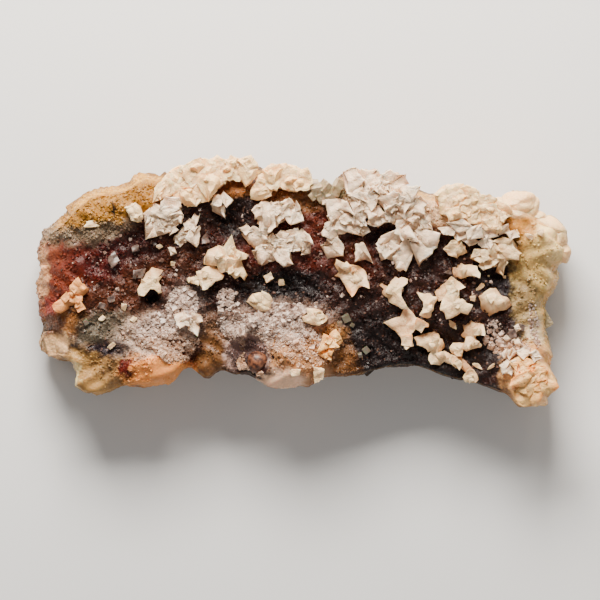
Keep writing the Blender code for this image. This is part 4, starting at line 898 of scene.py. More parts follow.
        (40.3, 6.6, 3.4, ((-2.8, 1.4), (-0.6, 2.4), (1.2, 1.8), (3.1, -0.9), (2.6, -2.2),
            (-1.6, -1.8))),
        (37.0, 4.2, 2.8, ((-2.2, -0.9), (-1.2, -1.9), (0.8, 1.9), (3.2, 0.2), (0.6, -1.2))),
        (39.5, 3.6, 2.6, ((0.3, 2.4), (1.2, 0.2), (0.4, -2.4), (-1.2, -1.6))),
        (37.6, 6.4, 2.8, ((-1.6, 0.6), (0.4, 1.4), (1.6, -0.2), (-0.2, -1.6))),
    )),
    "sill": ("cream", "traced", (
        (32.2, 2.2, 2.4, ((-1.3, 1.9), (-0.2, 1.25), (1.2, 1.3), (2.2, 0.9), (2.85, -0.5),
            (2.75, -1.4), (1.75, -1.0), (0.7, -1.1), (-0.9, -1.6), (-1.4, -1.25), (-2.0, -1.25),
            (-2.5, -0.4), (-2.4, 0.7), (-1.8, 0.9))),
    )),
    "pyramids": ("cream", "traced", (
        (29.0, -1.6, 2.6, ((0.4, 2.7), (1.6, 1.8), (2.7, 1.0), (3.1, 0.5), (2.0, 0.0),
            (1.8, -1.4), (-1.0, -1.8), (-2.1, -2.3), (-2.4, -1.7), (-2.8, -0.3), (-2.1, 0.6),
            (-0.6, 1.7))),
        (29.8, -4.2, 3.0, ((-0.3, 3.1), (1.1, 2.2), (1.2, 1.1), (1.6, 0.3), (2.5, 0.0),
            (3.6, -0.35), (3.5, -1.25), (2.7, -2.2), (1.4, -1.9), (0.8, -2.4), (-1.4, -3.2),
            (-1.8, -1.95), (-2.55, -1.4), (-2.6, -0.5), (-2.2, 0.7), (-1.2, 2.2))),
    )),
    "hook": ("cream", "traced", (
        (24.8, -4.4, 2.3, ((-2.15, 2.2), (-0.8, 2.05), (0.4, 2.1), (0.9, 1.55), (1.6, 1.4),
            (1.75, 0.7), (1.2, -0.2), (1.1, -1.2), (0.7, -1.6), (0.5, -2.5), (-0.2, -2.85),
            (-0.9, -2.5), (-1.8, -2.15), (-1.0, -0.8), (-1.1, 0.5), (-1.7, 1.2))),
    )),
    "forked_crystal": ("cream", "traced", (
        (18.0, -1.9, 2.6, ((0.3, 2.9), (0.9, 2.6), (1.4, 2.75), (2.7, 2.4), (2.6, 1.6),
            (1.7, 0.9), (1.4, -0.85), (2.0, -2.0), (2.7, -3.2), (1.4, -3.4), (0.3, -2.75),
            (-1.1, -2.1), (-1.3, -1.4), (-2.55, -0.4), (-2.1, 0.5), (-2.8, 1.15), (-2.4, 1.7),
            (-1.1, 0.9), (-0.75, 1.95))),
    )),
    "lower_star": ("tipped", "traced", (
        (20.4, -8.6, 3.0, ((-0.2, 3.5), (1.0, 2.9), (1.9, 1.6), (2.5, 1.4), (3.4, 0.9),
            (4.3, 0.1), (4.15, -0.4), (2.9, -0.4), (1.9, -1.0), (1.0, -1.85), (1.1, -2.6),
            (1.4, -4.0), (0.0, -4.8), (-0.6, -3.85), (-1.1, -2.5), (-2.2, -1.15), (-3.2, -0.55),
            (-4.35, 0.45), (-2.8, 1.25), (-1.2, 1.8))),
    )),
    "lower_chain": ("cream", "traced", (
        (25.6, -12.0, 2.6, ((-3.5, 0.9), (-0.55, 1.9), (0.6, 2.1), (1.2, 1.8), (1.6, 0.8),
            (2.1, 0.55), (2.4, -0.45), (2.4, -1.2), (1.6, -1.95), (0.45, -1.6), (-0.8, -1.95),
            (-1.3, -1.3), (-2.8, -0.6))),
        (27.4, -15.2, 2.5, ((-1.9, 1.75), (-0.2, 1.0), (0.65, 1.5), (2.15, 0.6), (2.8, -0.2),
            (2.3, -1.4), (0.65, -0.8), (-0.2, -1.5), (-1.1, -1.3), (-2.0, -1.25), (-2.5, -0.25),
            (-2.2, 1.0))),
        (31.6, -16.4, 2.4, ((-2.0, 1.8), (-0.2, 1.2), (0.6, 0.8), (1.6, -0.4), (2.45, -1.3),
            (1.7, -1.8), (0.6, -1.6), (-0.55, -0.7), (-1.2, -0.86), (-1.9, -0.2), (-2.6, 0.7))),
        (30.8, -13.6, 2.5, ((-1.75, 0.5), (-1.0, 1.4), (0.2, 1.5), (1.4, 1.4), (1.1, -0.1),
            (0.75, -1.5), (-0.25, -1.35), (-1.25, -0.7))),
        (33.6, -9.4, 2.6, ((-2.3, 1.7), (-1.6, 2.2), (-0.8, 2.1), (-0.8, 1.4), (0.6, 1.2),
            (1.5, 1.2), (2.15, 0.9), (2.5, -0.5), (2.4, -1.3), (1.0, -1.1), (0.4, -2.0),
            (-1.4, -1.8), (-2.2, -1.2), (-1.6, -0.4), (-1.9, 0.9))),
        (33.5, -12.0, 2.5, ((0.4, 1.2), (1.6, -0.1), (2.0, -0.6), (1.8, -1.0), (0.2, -1.4),
            (-1.0, -1.8), (-1.7, -1.2), (-1.3, 0.4), (-1.0, 1.4))),
        (33.2, -19.0, 1.8, ((-1.5, 0.0), (-0.9, 1.0), (-0.3, 1.6), (0.7, 1.4), (1.3, 0.6),
            (1.6, -0.6), (1.0, -1.1), (0.0, -1.1), (-1.1, -1.0))),
    )),
    "right_rosette": ("cream", "traced", (
        (38.0, -3.9, 2.9, ((-0.8, 2.6), (0.3, 2.7), (1.3, 1.3), (2.5, 0.8), (3.2, 0.0),
            (3.4, -0.65), (2.4, -1.6), (1.0, -1.95), (0.1, -2.3), (-0.95, -2.9), (-1.85, -2.15),
            (-2.7, -1.35), (-2.7, -0.1), (-3.0, 1.0), (-2.05, 1.8))),
    )),
    "corner_crust": ("peach", "layers", (
        (47.8, -19.8, 2.6, ((-2.2, 1.6), (0.8, 2.2), (3.0, -1.0), (0.8, -3.0), (-2.0, -1.8))),
        (43.6, -19.4, 3.0, ((-2.8, -1.4), (-1.8, 0.6), (1.4, 2.0), (2.4, 0.8), (0.4, -1.4))),
        (44.6, -22.4, 2.4, ((-3.0, 0.6), (-1.0, 2.2), (2.0, 2.0), (3.0, -0.8), (1.0, -2.2),
            (-1.8, -2.0))),
        (46.2, -17.0, 2.4, ((-1.8, 0.6), (0.2, 1.6), (2.0, 0.2), (0.4, -1.8))),
        (42.6, -16.4, 2.2, ((-1.8, 0.4), (0.2, 1.6), (1.8, 0.0), (-0.2, -1.6))),
    )),
    "corner_frosted": ("white", "star", (
        (41.4, -14.4, 2.0, ((-1.4, 0.6), (0.2, 1.4), (1.4, -0.2), (-0.4, -1.2))),
        (43.8, -14.2, 2.4, ((-1.6, 0.4), (0.4, 1.6), (1.6, 0.0), (0.0, -1.4))),
        (46.0, -14.8, 2.2, ((-1.4, 0.6), (0.2, 1.4), (1.6, -0.4), (-0.2, -1.4))),
        (40.6, -14.4, 1.9, ((-1.2, 0.2), (-0.2, 1.2), (1.2, 0.4), (0.6, -1.2), (-0.8, -1.0))),
        (42.4, -12.2, 1.8, ((-0.8, 0.6), (0.4, 1.2), (1.0, -0.2), (0.0, -1.2))),
        (40.4, -11.4, 1.4, ((-0.8, 0.2), (0.0, 0.9), (0.8, 0.0), (0.0, -0.8))),
        (42.6, -9.2, 1.4, ((-0.7, 0.3), (0.2, 0.9), (0.8, -0.2), (-0.2, -0.9))),
        (40.8, -17.0, 2.2, ((-1.8, 0.4), (-0.2, 1.6), (1.6, 0.4), (0.6, -1.6), (-1.2, -1.4))),
        (42.6, -16.4, 2.4, ((-1.4, 0.6), (0.4, 1.4), (1.4, -0.4), (-0.4, -1.4))),
    )),
}
# Clusters that stand on the crust or on a larger cluster, with no solid of their own
LOOSE_CLUSTERS = ("corner_frosted",)
# How crystals of a habit grow: how many curved plates each splits into, how far the
# plates' sides bow out from and to, the heights of their tips from and to as shares of
# the rise, their thickness from and to, the size of the crystals that fill the gaps, how
# many small crystals sit on each, and how far in from the edge the plates' rounding goes
HABITS = {
    "traced": (0, (-0.03, 0.03), (0.0, 1.3), (0.8, 1.2), 0.0, 2, 0.35),
    "star": (2, (-0.12, 0.05), (0.0, 1.25), (0.8, 1.2), 0.0, 0, 0.75),
    "rosette": (3, (-0.16, 0.1), (0.0, 1.3), (0.8, 1.1), 0.38, 0, 0.75),
    "ridge": (2, (-0.05, 0.12), (0.5, 1.2), (1.3, 2.0), 0.7, 1, 2.4),
    "plates": (2, (-0.08, 0.04), (0.4, 1.2), (0.5, 0.7), 0.0, 0, 0.5),
    "layers": (3, (-0.1, 0.1), (0.3, 1.15), (0.7, 1.0), 0.5, 0, 0.75),
    "dome": (3, (-0.06, 0.14), (0.4, 0.9), (0.9, 1.3), 0.0, 1, 1.5),
    "knob": (4, (-0.02, 0.12), (0.4, 0.6), (0.6, 0.9), 0.0, 0, 1.5),
}
# The rings of a body and of a plate, from the middle of the top outwards, down the edge
# and in to the foot: share of the reach, how much of the edge's thickness lies above,
# and how much of the way down to the foot
BODY_RINGS = (
    (0.0, 0.0, 0.0), (0.3, 0.0, 0.0), (0.55, 0.0, 0.0), (0.78, 0.0, 0.0), (0.93, 0.03, 0.0),
    (1.0, 0.2, 0.0), (0.985, 1.0, 0.0), (0.72, 1.25, 0.35), (0.56, 1.3, 1.0), (0.0, 1.3, 1.0),
)
PLATE_RINGS = (
    (0.0, 0.0, 0.0), (0.46, 0.0, 0.0), (0.78, 0.06, 0.0), (0.94, 0.26, 0.0),
    (1.0, 0.65, 0.0), (0.6, 1.3, 0.3), (0.0, 1.3, 0.3),
)
FOOT_LEVEL = -1.6
EDGE_THICKNESS = 0.75
# Crystals nearer than this to one another get a joining crystal between them
FILLER_GAP = 4.6
# Height of the ripples on the crystals' tops, and the share of its reach by which waves
# move the outline
ROUGHNESS = 0.11
RAGGED = 0.05


def height_at(x, y, surface=relief):
    """Height of the relief, or of another surface, at one place."""
    return float(surface(np.array([x]), np.array([y]))[0])


def crystal_shape(corners, rise, tips, bow, lean=(0.0, 0.0), edge=EDGE_THICKNESS, foot=FOOT_LEVEL,
                  rings=BODY_RINGS, steps=6, rounding=1.0, roof=0.0):
    """Closed thick plate over a polygon. Its sides bow out or in by a share of their
    length, and sine waves make its outline ragged. Its top is one smooth surface of the
    place p: the rise, changed for every corner c with the square of p.c / c.c to that
    tip's height, plus a lean and ripples, and lowered so that no point stands far above the
    rise. With a roof, only the corners that stick out have tips, and the top falls off
    beside them. Below the edge the body narrows to its foot."""
    order = sorted(range(len(corners)), key=lambda k: math.atan2(corners[k][1], corners[k][0]))
    corners, tips = np.array(corners)[order], np.array(tips)[order]
    bow = np.repeat(np.broadcast_to(bow, len(corners)), steps)[:, None]
    share = np.tile(np.arange(steps) / steps, len(corners))[:, None]
    here = np.repeat(corners, steps, axis=0)
    along = np.repeat(np.roll(corners, -1, axis=0), steps, axis=0) - here
    outward = np.stack((along[:, 1], -along[:, 0]), -1)
    outline = here + along * share + outward * 4 * share * (1 - share) * bow
    angle, phase = np.arctan2(outline[:, 1], outline[:, 0]), 7.0 * corners[0, 0] + 5.0 * rise
    waves = np.sin(7 * angle + phase) + np.sin(12 * angle + 2 * phase)
    outline *= 1 + RAGGED * (0.4 if roof else 1.0) * waves[:, None]
    reach, thick, down = np.array(rings).T[:, :, None]
    reach = np.where(thick < 1, 1 - (1 - reach) * rounding ** (thick > 0), reach)
    place = outline[None] * reach[..., None]
    radius = np.hypot(*corners.T)
    tall = radius > np.maximum(np.roll(radius, 1), np.roll(radius, -1))
    tall &= radius > 0.6 * radius.max()
    ends, tips = (corners[tall], tips[tall]) if roof else (corners, tips)
    towards = np.maximum(place @ ends.T / np.sum(ends**2, axis=1), 0.0)
    forwards = place @ (ends / np.hypot(*ends.T)[:, None]).T
    aside = np.hypot(place[..., 0], place[..., 1]) - forwards.max(axis=-1)
    waves = np.sin(place @ (2.6, 1.5) + phase) + np.sin(place @ (-1.7, 3.1) + 2 * phase)
    top = rise + towards**2 @ (tips - rise) + place @ lean + ROUGHNESS * waves - roof * aside
    top = np.maximum(top - max(0.0, top.max() - 1.35 * rise), 0.3)
    height = (top - edge * thick) * (1 - down) + foot * down
    # Share for the material: low parts get painted shade, high outer tips the tip tint
    shade_and_tip = np.clip(height / rise, 0.0, 1.0) * (0.75 + 0.25 * reach**2)
    return np.concatenate((place, height[..., None]), axis=-1), shade_and_tip


def ring_faces(rings, around, first):
    """Quads between rings that follow one another, closed all the way round; the first
    and the last ring are each one point repeated."""
    index = first + np.arange(rings * around).reshape(rings, around)
    side = np.roll(index, -1, axis=1)
    return np.stack((index[:-1], index[1:], side[1:], side[:-1]), -1).reshape(-1, 4)


def crystal_piece(name, shapes, finish, crease=None):
    """One piece of closed shapes, each given as the points of its rings and their share of
    painted shade and tip tint, which its material reads."""
    quads, count = [], 0
    for shape, shade_and_tip in shapes:
        quads.append(ring_faces(*shape.shape[:2], count))
        count += shade_and_tip.size
    points = np.concatenate([shape.reshape(-1, 3) for shape, _ in shapes])
    piece = make_piece(name, points, np.concatenate(quads), crease=crease)
    set_values(piece, "shade_and_tip", np.concatenate([shade_and_tip.ravel() for _, shade_and_tip in shapes]))
    piece.data.materials.append(finish)
    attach(piece, "root")
    return piece


def turned(points, yaw, pitch, roll):
    """Points rolled about x, pitched so that +x rises, then turned about the upright."""
    c, s = np.cos((yaw, pitch, roll)), np.sin((yaw, pitch, roll))
    about_x = np.array(((1, 0, 0), (0, c[2], -s[2]), (0, s[2], c[2])))
    about_y = np.array(((c[1], 0, -s[1]), (0, 1, 0), (s[1], 0, c[1])))
    about_z = np.array(((c[0], -s[0], 0), (s[0], c[0], 0), (0, 0, 1)))
    return points @ (about_z @ about_y @ about_x).T


def plates_of(corners, rise, habit, draw):
    """A crystal splits into sectors around its middle: each is a curved plate that runs
    from behind the middle out to neighbouring corners, its tips at heights of its own.
    Small four-cornered crystals sit on them."""
    number, bows, heights, thick, _, small, rounding = HABITS[habit]
    sides = len(corners)
    around = sorted(corners, key=lambda corner: math.atan2(corner[1], corner[0]))
    cuts = np.linspace(0, sides, number + 1).round().astype(int) + draw.integers(sides - 1)
    shared = {"foot": rise * 0.2 - 0.4, "rings": PLATE_RINGS, "steps": 3, "rounding": rounding}
    plates = []
    for first, last in zip(cuts[:-1], cuts[1:]):
        outer = np.array([around[k % sides] for k in range(first, last + 1)])
        outer = outer * draw.uniform(1.0, 1.08)
        outline = np.vstack((outer, -draw.uniform(0.2, 0.5) * outer.mean(axis=0)))
        middle = outline.mean(axis=0)
        tips = rise * draw.uniform(*heights, len(outline))
        tips[draw.integers(len(outer))] = rise * heights[1]
        shape, shade_and_tip = crystal_shape(
            outline - middle, rise * draw.uniform(0.6, 0.95), tips,
            draw.uniform(*bows, len(outline)), lean=draw.normal(0, 0.12, 2),
            edge=draw.uniform(*thick), **shared,
        )
        plates.append((shape + (*middle, 0.0), shade_and_tip))
    for _ in range(small):
        middle = np.array(around[draw.integers(sides)]) * draw.uniform(0.1, 0.7)
        turn = draw.uniform(0, 2 * math.pi) + np.arange(4) * math.pi / 2
        reach = draw.uniform(0.3, 0.6, (4, 1)) * np.hypot(*np.transpose(corners)).mean()
        shape, shade_and_tip = crystal_shape(
            reach * np.stack((np.cos(turn), np.sin(turn)), -1), rise * draw.uniform(0.85, 1.05),
            rise * draw.uniform(0.7, 1.2, 4), draw.uniform(-0.05, 0.1, 4),
            lean=draw.normal(0, 0.2, 2), edge=1.2, **shared,
        )
        plates.append((shape + (*middle, 0.0), shade_and_tip))
    return plates


def with_fillers(crystals, share, draw):
    """A cluster's crystals and, between any two that stand close, a lower one that joins
    them, with five corners at a share of their distance."""
    more = []
    for k, (x, y, rise, _) in enumerate(crystals):
        for other_x, other_y, other_rise, _ in crystals[k + 1:]:
            apart = math.hypot(other_x - x, other_y - y)
            if apart < FILLER_GAP and share > 0:
                turn = draw.uniform(0, 2 * math.pi)
                corners = tuple(
                    (reach * math.cos(turn + 1.26 * step), reach * math.sin(turn + 1.26 * step))
                    for step, reach in enumerate(draw.uniform(0.8, 1.2, 5) * share * apart)
                )
                lower = 0.85 * min(rise, other_rise)
                more.append(((x + other_x) / 2, (y + other_y) / 2, lower, corners))
    return list(crystals) + more


def finish_barite(name, body, tip, shade, clear, depth):
    """Pearly and faintly translucent: painted shade on the low parts and towards the root,
    and on the high outer parts the tip tint, partly the crystals' own orange tips and partly
    painted highlight; with soft clouds, bumped lines along the edges and a few pinholes."""
    finish, shader, place = new_finish(
        name, Subsurface_Weight=clear, Subsurface_Scale=depth * MM,
        Subsurface_Radius=(1.0, 0.65, 0.4), Coat_Weight=0.12, Coat_Roughness=0.4, IOR=1.6,
    )
    shade_and_tip = place.node("ShaderNodeAttribute", {"attribute_name": "shade_and_tip"}, out=2)
    clouds = noise(place, 0.35, 5.0)
    flecks = noise(place, 3.2, 5.0)
    chunks = noise(place, 1.2, 3.0)
    # Painted shade: low parts darker and greyer, as if shaded between the crystals
    colour = place.mix(shade_and_tip.smooth(0.05, 0.85), shade, body)
    # Tip tint on the high outer parts: own orange tips in warm tints, painted highlight in pale
    # ones
    colour = place.mix(shade_and_tip.smooth(0.75, 1.0) * clouds.smooth(0.4, 0.62), colour, tip)
    colour = brightened(colour, 0.86 + 0.14 * flecks + 0.14 * clouds)
    colour = place.mix(1 - cells(place, 0.42).smooth(0.035, 0.07), colour, PINHOLE)
    wave = shade_and_tip * 46.0 + clouds * 9.0
    height = flecks * 1.2 + chunks * 1.6 + wave.maths("SINE", wave) * 0.1
    connect(shader, colour, 0.42 + 0.25 * flecks, bump(height, 0.7, 0.2))
    return finish


# Each tint: its paint on the body; at the high tips, the crystals' own orange tips in the
# warm tints and a painted highlight in the pale ones; the painted shade of the low parts
# and the root; how much of the light spreads below the surface, and how many millimetres
# deep
BARITE_TINTS = {
    "white": ((240, 216, 190), (252, 236, 216), (200, 168, 142), 0.3, 0.9),
    "cream": ((246, 216, 176), (254, 232, 198), (204, 162, 122), 0.3, 0.9),
    "peach": ((250, 204, 142), (244, 170, 88), (186, 126, 74), 0.3, 0.9),
    "tipped": ((246, 216, 178), (244, 176, 108), (204, 156, 108), 0.3, 0.9),
    "orange": ((240, 182, 120), (236, 160, 92), (170, 110, 66), 0.3, 0.9),
    # Glow: the crest's cream painted brighter, as painted glow of light shining through it
    "glow": ((255, 216, 168), (255, 230, 190), (248, 208, 164), 0.35, 1.0),
}
PINHOLE = paint(70, 50, 40)
BARITE_FINISHES = {
    tint: finish_barite(f"barite_{tint}_finish", *(paint(*chip) for chip in chips), clear, depth)
    for tint, (*chips, clear, depth) in BARITE_TINTS.items()
}
# Crystals of a habit without plates are traced: their tips are drawn out a little, and
# their tops lean and fall off like a roof between the tips
for seed, (name, (tint, habit, crystals)) in enumerate(CLUSTERS.items(), 40):
    draw = np.random.default_rng(seed)
    number, bows, heights, _, fill, _, rounding = HABITS[habit]
    high = 0.8 if number else 1.0
    shapes = []
    for x, y, rise, corners in with_fillers(crystals, fill, draw):
        if number == 0:
            reach = np.hypot(*np.transpose(corners))[:, None]
            corners = 1.02 * np.array(corners) * (reach / reach.mean()) ** 0.1
        tips = rise * draw.uniform(heights[0], high * heights[1], len(corners))
        body = crystal_shape(
            np.array(corners), rise * draw.uniform(high - 0.2, high), tips,
            draw.uniform(*bows, len(corners)), steps=6 if number else 2, rounding=rounding,
            roof=0.0 if number else 0.8, lean=draw.normal(0, 0.0 if number else 0.14, 2),
        )
        middle = (x, y, height_at(x, y))
        for shape, shade_and_tip in [body] + plates_of(corners, rise, habit, draw):
            shapes.append((shape + middle, shade_and_tip))
    piece = crystal_piece(
        f"barite_{name}_crystals", shapes, BARITE_FINISHES[tint], crease=0.95,
    )
    if name not in LOOSE_CLUSTERS:
        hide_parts(f"barite_{name}")

# Loose plates and chips: thin grey and white flakes of barite that lie on the crust
# between the clusters, each a polygon with sharp edges and its own tilt.

# Each: centre x, centre y, thickness, tilt along x and along y in degrees, and corners
GREY_PLATES = (
    (-37.9, 4.3, 0.7, 8, -14, ((0.0, 1.9), (1.2, -0.2), (-0.2, -1.8), (-1.3, 0.0))),
    (-32.9, 1.8, 0.7, -6, 10, ((1.3, 1.0), (0.6, -0.9), (-1.4, -1.0), (-1.2, 0.6))),
    (-33.6, 6.8, 0.5, 12, 6, ((0.6, 0.8), (0.8, -0.5), (-0.6, -0.8), (-0.8, 0.3))),
    (-40.4, -4.6, 0.5, 0, 16, ((0.9, 0.2), (0.4, -0.7), (-0.9, -0.4), (-0.4, 0.7))),
    (-38.6, -3.4, 0.5, -14, 0, ((0.5, 0.9), (0.8, -0.4), (-0.4, -0.8), (-0.8, 0.2))),
    (19.9, 0.1, 0.6, 10, 12, ((0.8, 0.6), (0.6, -0.6), (-0.6, -0.6), (-0.3, 0.5))),
    (28.7, 2.0, 0.5, -8, 4, ((-0.9, -0.1), (0.5, 0.6), (0.8, -0.5))),
    (-19.6, 8.4, 0.6, 14, -8, ((0.2, 1.4), (0.9, -0.6), (-0.6, -0.9), (-0.8, 0.3))),
    (-16.8, 6.9, 0.5, 0, 14, ((0.6, 0.8), (0.7, -0.6), (-0.7, -0.5))),
    (41.7, -10.3, 0.8, 10, 0, ((-0.8, 0.9), (0.7, 0.8), (0.9, -0.8), (-0.6, -0.9))),
    (43.4, -9.0, 0.7, -10, 8, ((-0.5, 0.8), (0.7, 0.4), (0.4, -0.8), (-0.6, -0.5))),
)
WHITE_CHIPS = (
    (-28.9, 7.1, 0.7, 6, 8, ((-0.7, 0.2), (0.2, 0.6), (0.8, 0.0), (0.0, -0.5))),
    (-26.2, 3.7, 0.5, 0, 10, ((-0.4, 0.5), (0.5, 0.3), (0.3, -0.5), (-0.4, -0.4))),
    (33.8, -3.2, 0.7, 8, 4, ((-0.6, 0.4), (0.6, 0.5), (0.4, -0.6), (-0.5, -0.5))),
    (35.2, -1.0, 0.7, -12, 16, ((0.9, 0.4), (0.2, 1.0), (-0.6, 0.1), (-1.1, -0.8), (0.1, -0.2))),
    (29.7, -8.6, 0.7, 4, -12, ((-0.7, 1.0), (0.6, 0.2), (0.8, -1.1), (-0.6, -0.2))),
    (34.6, -16.8, 0.5, 10, 0, ((-1.0, 0.6), (0.4, 0.5), (1.1, -0.7), (-0.4, -0.2))),
    (37.4, -16.9, 0.5, 0, 10, ((0.6, 0.8), (0.6, 0.0), (-0.8, -0.6), (-0.4, 0.1))),
    (42.5, 9.8, 0.6, 8, 0, ((0.0, 0.8), (0.6, -0.3), (-0.6, -0.4))),
    (44.9, 9.2, 0.6, -8, 8, ((-0.9, 0.6), (0.8, 0.2), (0.6, -0.8), (-0.4, -0.4))),
    (47.2, 10.0, 0.6, 10, 10, ((-0.8, 0.3), (0.8, 0.7), (0.5, -0.9), (-0.2, -0.5))),
    (42.9, 7.9, 0.4, 0, 0, ((-0.5, 0.2), (0.5, 0.3), (0.2, -0.4))),
    (2.9, -18.0, 1.2, 0, 18, ((-1.0, 1.4), (1.2, 1.0), (0.8, -1.2), (-0.8, -2.0))),
    (-1.5, -17.9, 0.9, 8, 12, ((-1.2, 0.5), (0.9, 0.7), (0.7, -0.6), (-0.9, -0.7))),
    (-38.4, -12.6, 0.6, 10, 14, ((-0.9, -0.4), (0.3, 0.7), (0.9, 0.2), (-0.2, -0.8))),
    (-36.0, -4.9, 0.7, -6, 12, ((-0.5, 0.7), (0.6, 0.6), (0.3, -0.8), (-0.5, -0.5))),
    (-40.2, -7.3, 0.7, 10, 0, ((-0.8, -0.2), (0.0, 0.7), (0.8, 0.1), (-0.1, -0.6))),
    (-34.0, -7.4, 0.7, 0, 8, ((-0.8, -0.1), (-0.1, 0.6), (0.8, 0.2), (0.1, -0.6))),
    (36.9, 1.2, 0.3, 0, 0, ((-0.2, 0.2), (0.2, 0.2), (0.2, -0.2), (-0.2, -0.2))),
    (40.1, 1.0, 0.4, 0, 0, ((-0.3, 0.3), (0.3, 0.3), (0.3, -0.3), (-0.3, -0.2))),
    (-4.4, -0.1, 0.8, 12, 0, ((-0.6, 0.6), (0.5, 0.7), (0.7, -0.5), (-0.5, -0.7))),
    (-42.0, 11.4, 0.6, 0, -12, ((-1.8, -0.6), (-1.4, 0.6), (1.2, 0.8), (1.9, 0.0), (0.4, -0.5))),
)


def chip_pieces(name, chips, finish):
    """One piece of chips: low flat-topped bodies over their corners, tilted, on the
    crust."""
    shapes = []
    for x, y, thick, tilt_x, tilt_y, corners in chips:
        tips = (0.95 * thick,) * len(corners)
        shape, shade_and_tip = crystal_shape(corners, thick, tips, 0.03, edge=0.3, foot=-0.5)
        shape = turned(shape, 0.0, math.radians(tilt_x), math.radians(tilt_y))
        middle = (x, y, height_at(x, y, crust_height) + 0.1)
        # Chips lie low and flat, so they take little of the painted shade
        shapes.append((shape + middle, np.maximum(shade_and_tip, 0.7)))
    crystal_piece(name, shapes, finish, crease=0.5)


def finish_plate(name, clear, tint, veil):
    """Greyish see-through flake with milky clouds and worn streaks."""
    finish, shader, place = new_finish(
        name, Transmission_Weight=clear, IOR=1.6, Subsurface_Weight=0.2,
        Subsurface_Scale=0.6 * MM,
    )
    clouds = noise(place, 0.9, 5.0)
    values = {"Vector": place, "Rotation": (0, 0, 0.5), "Scale": (6.0, 0.8, 2.0)}
    streaks = noise(place.node("ShaderNodeMapping", values=values), 1.0, 3.0)
    colour = place.mix(clouds.smooth(0.35, 0.65), tint, veil)
    connect(shader, colour, 0.25 + 0.3 * clouds, bump(streaks, 0.35, 0.06))
    return finish


grey_finish = finish_plate("grey_plate_finish", 0.25, paint(112, 92, 84), paint(164, 144, 134))
chip_pieces("grey_plates", GREY_PLATES, grey_finish)
chip_pieces("white_chips", WHITE_CHIPS, BARITE_FINISHES["cream"])

# Rim lumps: smooth cream knobs of translucent mineral at the right end of the far rim,
# grown into the crust so that only their upper sides show.

# Each: x, y, z of the middle, half length, half width, half height and turn
RIM_LUMPS = (
    (42.6, 15.6, 14.6, 4.2, 2.6, 2.4, 8), (45.0, 14.4, 13.8, 2.0, 3.2, 2.2, -20),
    (39.6, 15.2, 14.4, 2.6, 1.8, 2.2, 0), (49.2, 10.8, 13.6, 3.6, 2.2, 2.4, -28),
    (51.0, 9.2, 13.2, 1.8, 2.6, 2.2, 10), (52.0, 6.0, 12.2, 1.5, 2.3, 2.2, 6),
    (47.0, 12.8, 13.4, 2.0, 1.5, 2.0, -40),
)
LUMP_RINGS = 25
LUMP_SIDES = 48


def lump_shape(x, y, z, half_x, half_y, half_z, turn):
    """Closed ellipsoid swollen by crossed waves of its two angles; its share of painted
    shade and tip tint falls from the top, which gets the tip tint, to the foot, which gets
    painted shade."""
    down = np.linspace(0, np.pi, LUMP_RINGS)[:, None]
    around = np.linspace(0, 2 * np.pi, LUMP_SIDES + 1)[None, :-1]
    swell = 1 + 0.07 * np.sin(3 * around + x) * np.sin(2 * down)
    swell = swell + 0.05 * np.cos(5 * around + y) * np.sin(down)
    shape = np.stack((
        half_x * swell * np.sin(down) * np.cos(around),
        half_y * swell * np.sin(down) * np.sin(around),
        half_z * swell * np.cos(down),
    ), axis=-1)
    shade_and_tip = np.linspace(1.0, 0.2, LUMP_RINGS).repeat(LUMP_SIDES)
    return turned(shape, math.radians(turn), 0.0, 0.0) + (x, y, z), shade_and_tip


rim_lumps = [lump_shape(*lump) for lump in RIM_LUMPS]
# Glow finish: cream painted brighter as painted glow, painted shade towards the foot
crystal_piece("rim_lumps", rim_lumps, BARITE_FINISHES["glow"])

# Clear cubes: a few glassy fluorite crystals with bright edges, and the blocky greyish
# ones that fill the notch of the far rim. They grew on the crust and stand a quarter of
# their edge deep in it. Each: x, y, edge, turn and tilt.
CUBE_LIFT = 0.25
CLEAR_CUBES = (
    (8.4, -7.2, 1.5, 24, 16), (12.4, -13.6, 1.3, 40, 10), (7.2, -8.4, 1.0, 10, 24),
    (9.6, -8.6, 0.8, 60, 30), (11.2, -14.6, 0.8, 15, 35), (-43.6, -8.0, 1.0, 30, 20),
)
NOTCH_CRYSTALS = (
    (2.6, 18.4, 2.2, 10, 30), (4.4, 18.8, 2.4, 50, 38), (3.4, 17.0, 2.0, 30, 20),
    (6.0, 18.2, 2.0, 70, 34), (1.8, 17.2, 1.6, 40, 10), (5.2, 17.2, 1.8, 20, 42),
    (7.0, 19.6, 1.8, 60, 26), (2.2, 19.6, 1.4, 0, 40),
)


def cube_piece(name, cubes, finish, bevel):
    """One piece of cubes with narrow bevels, each tipped about x and then turned about
    the upright. Its middle lies over the crust by a share of its edge, or at its own
    height where one is given."""
    points = []
    for x, y, *given, edge, turn, tilt in cubes:
        level = given[0] if given else height_at(x, y) + CUBE_LIFT * edge
        cube = turned(CUBE_CORNERS * edge, math.radians(turn), 0.0, math.radians(tilt))
        points.append(cube + (x, y, level))
    quads = (CUBE_FACES[None] + 8 * np.arange(len(cubes))[:, None, None]).reshape(-1, 4)
    piece = make_piece(name, np.concatenate(points), quads, crease=0.0)
    rounding = piece.modifiers.new("worn_edges", "BEVEL")
    rounding.width, rounding.segments = bevel * MM, 2
    piece.data.materials.append(finish)
    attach(piece, "root")


clear_finish = finish_plate("clear_cube_finish", 0.85, paint(222, 206, 176), paint(240, 228, 206))
notch_finish = finish_plate("notch_crystal_finish", 0.3, paint(168, 146, 112), paint(216, 200, 170))
cube_piece("clear_cubes", CLEAR_CUBES, clear_finish, 0.08)
cube_piece("notch_crystals", NOTCH_CRYSTALS, notch_finish, 0.16)

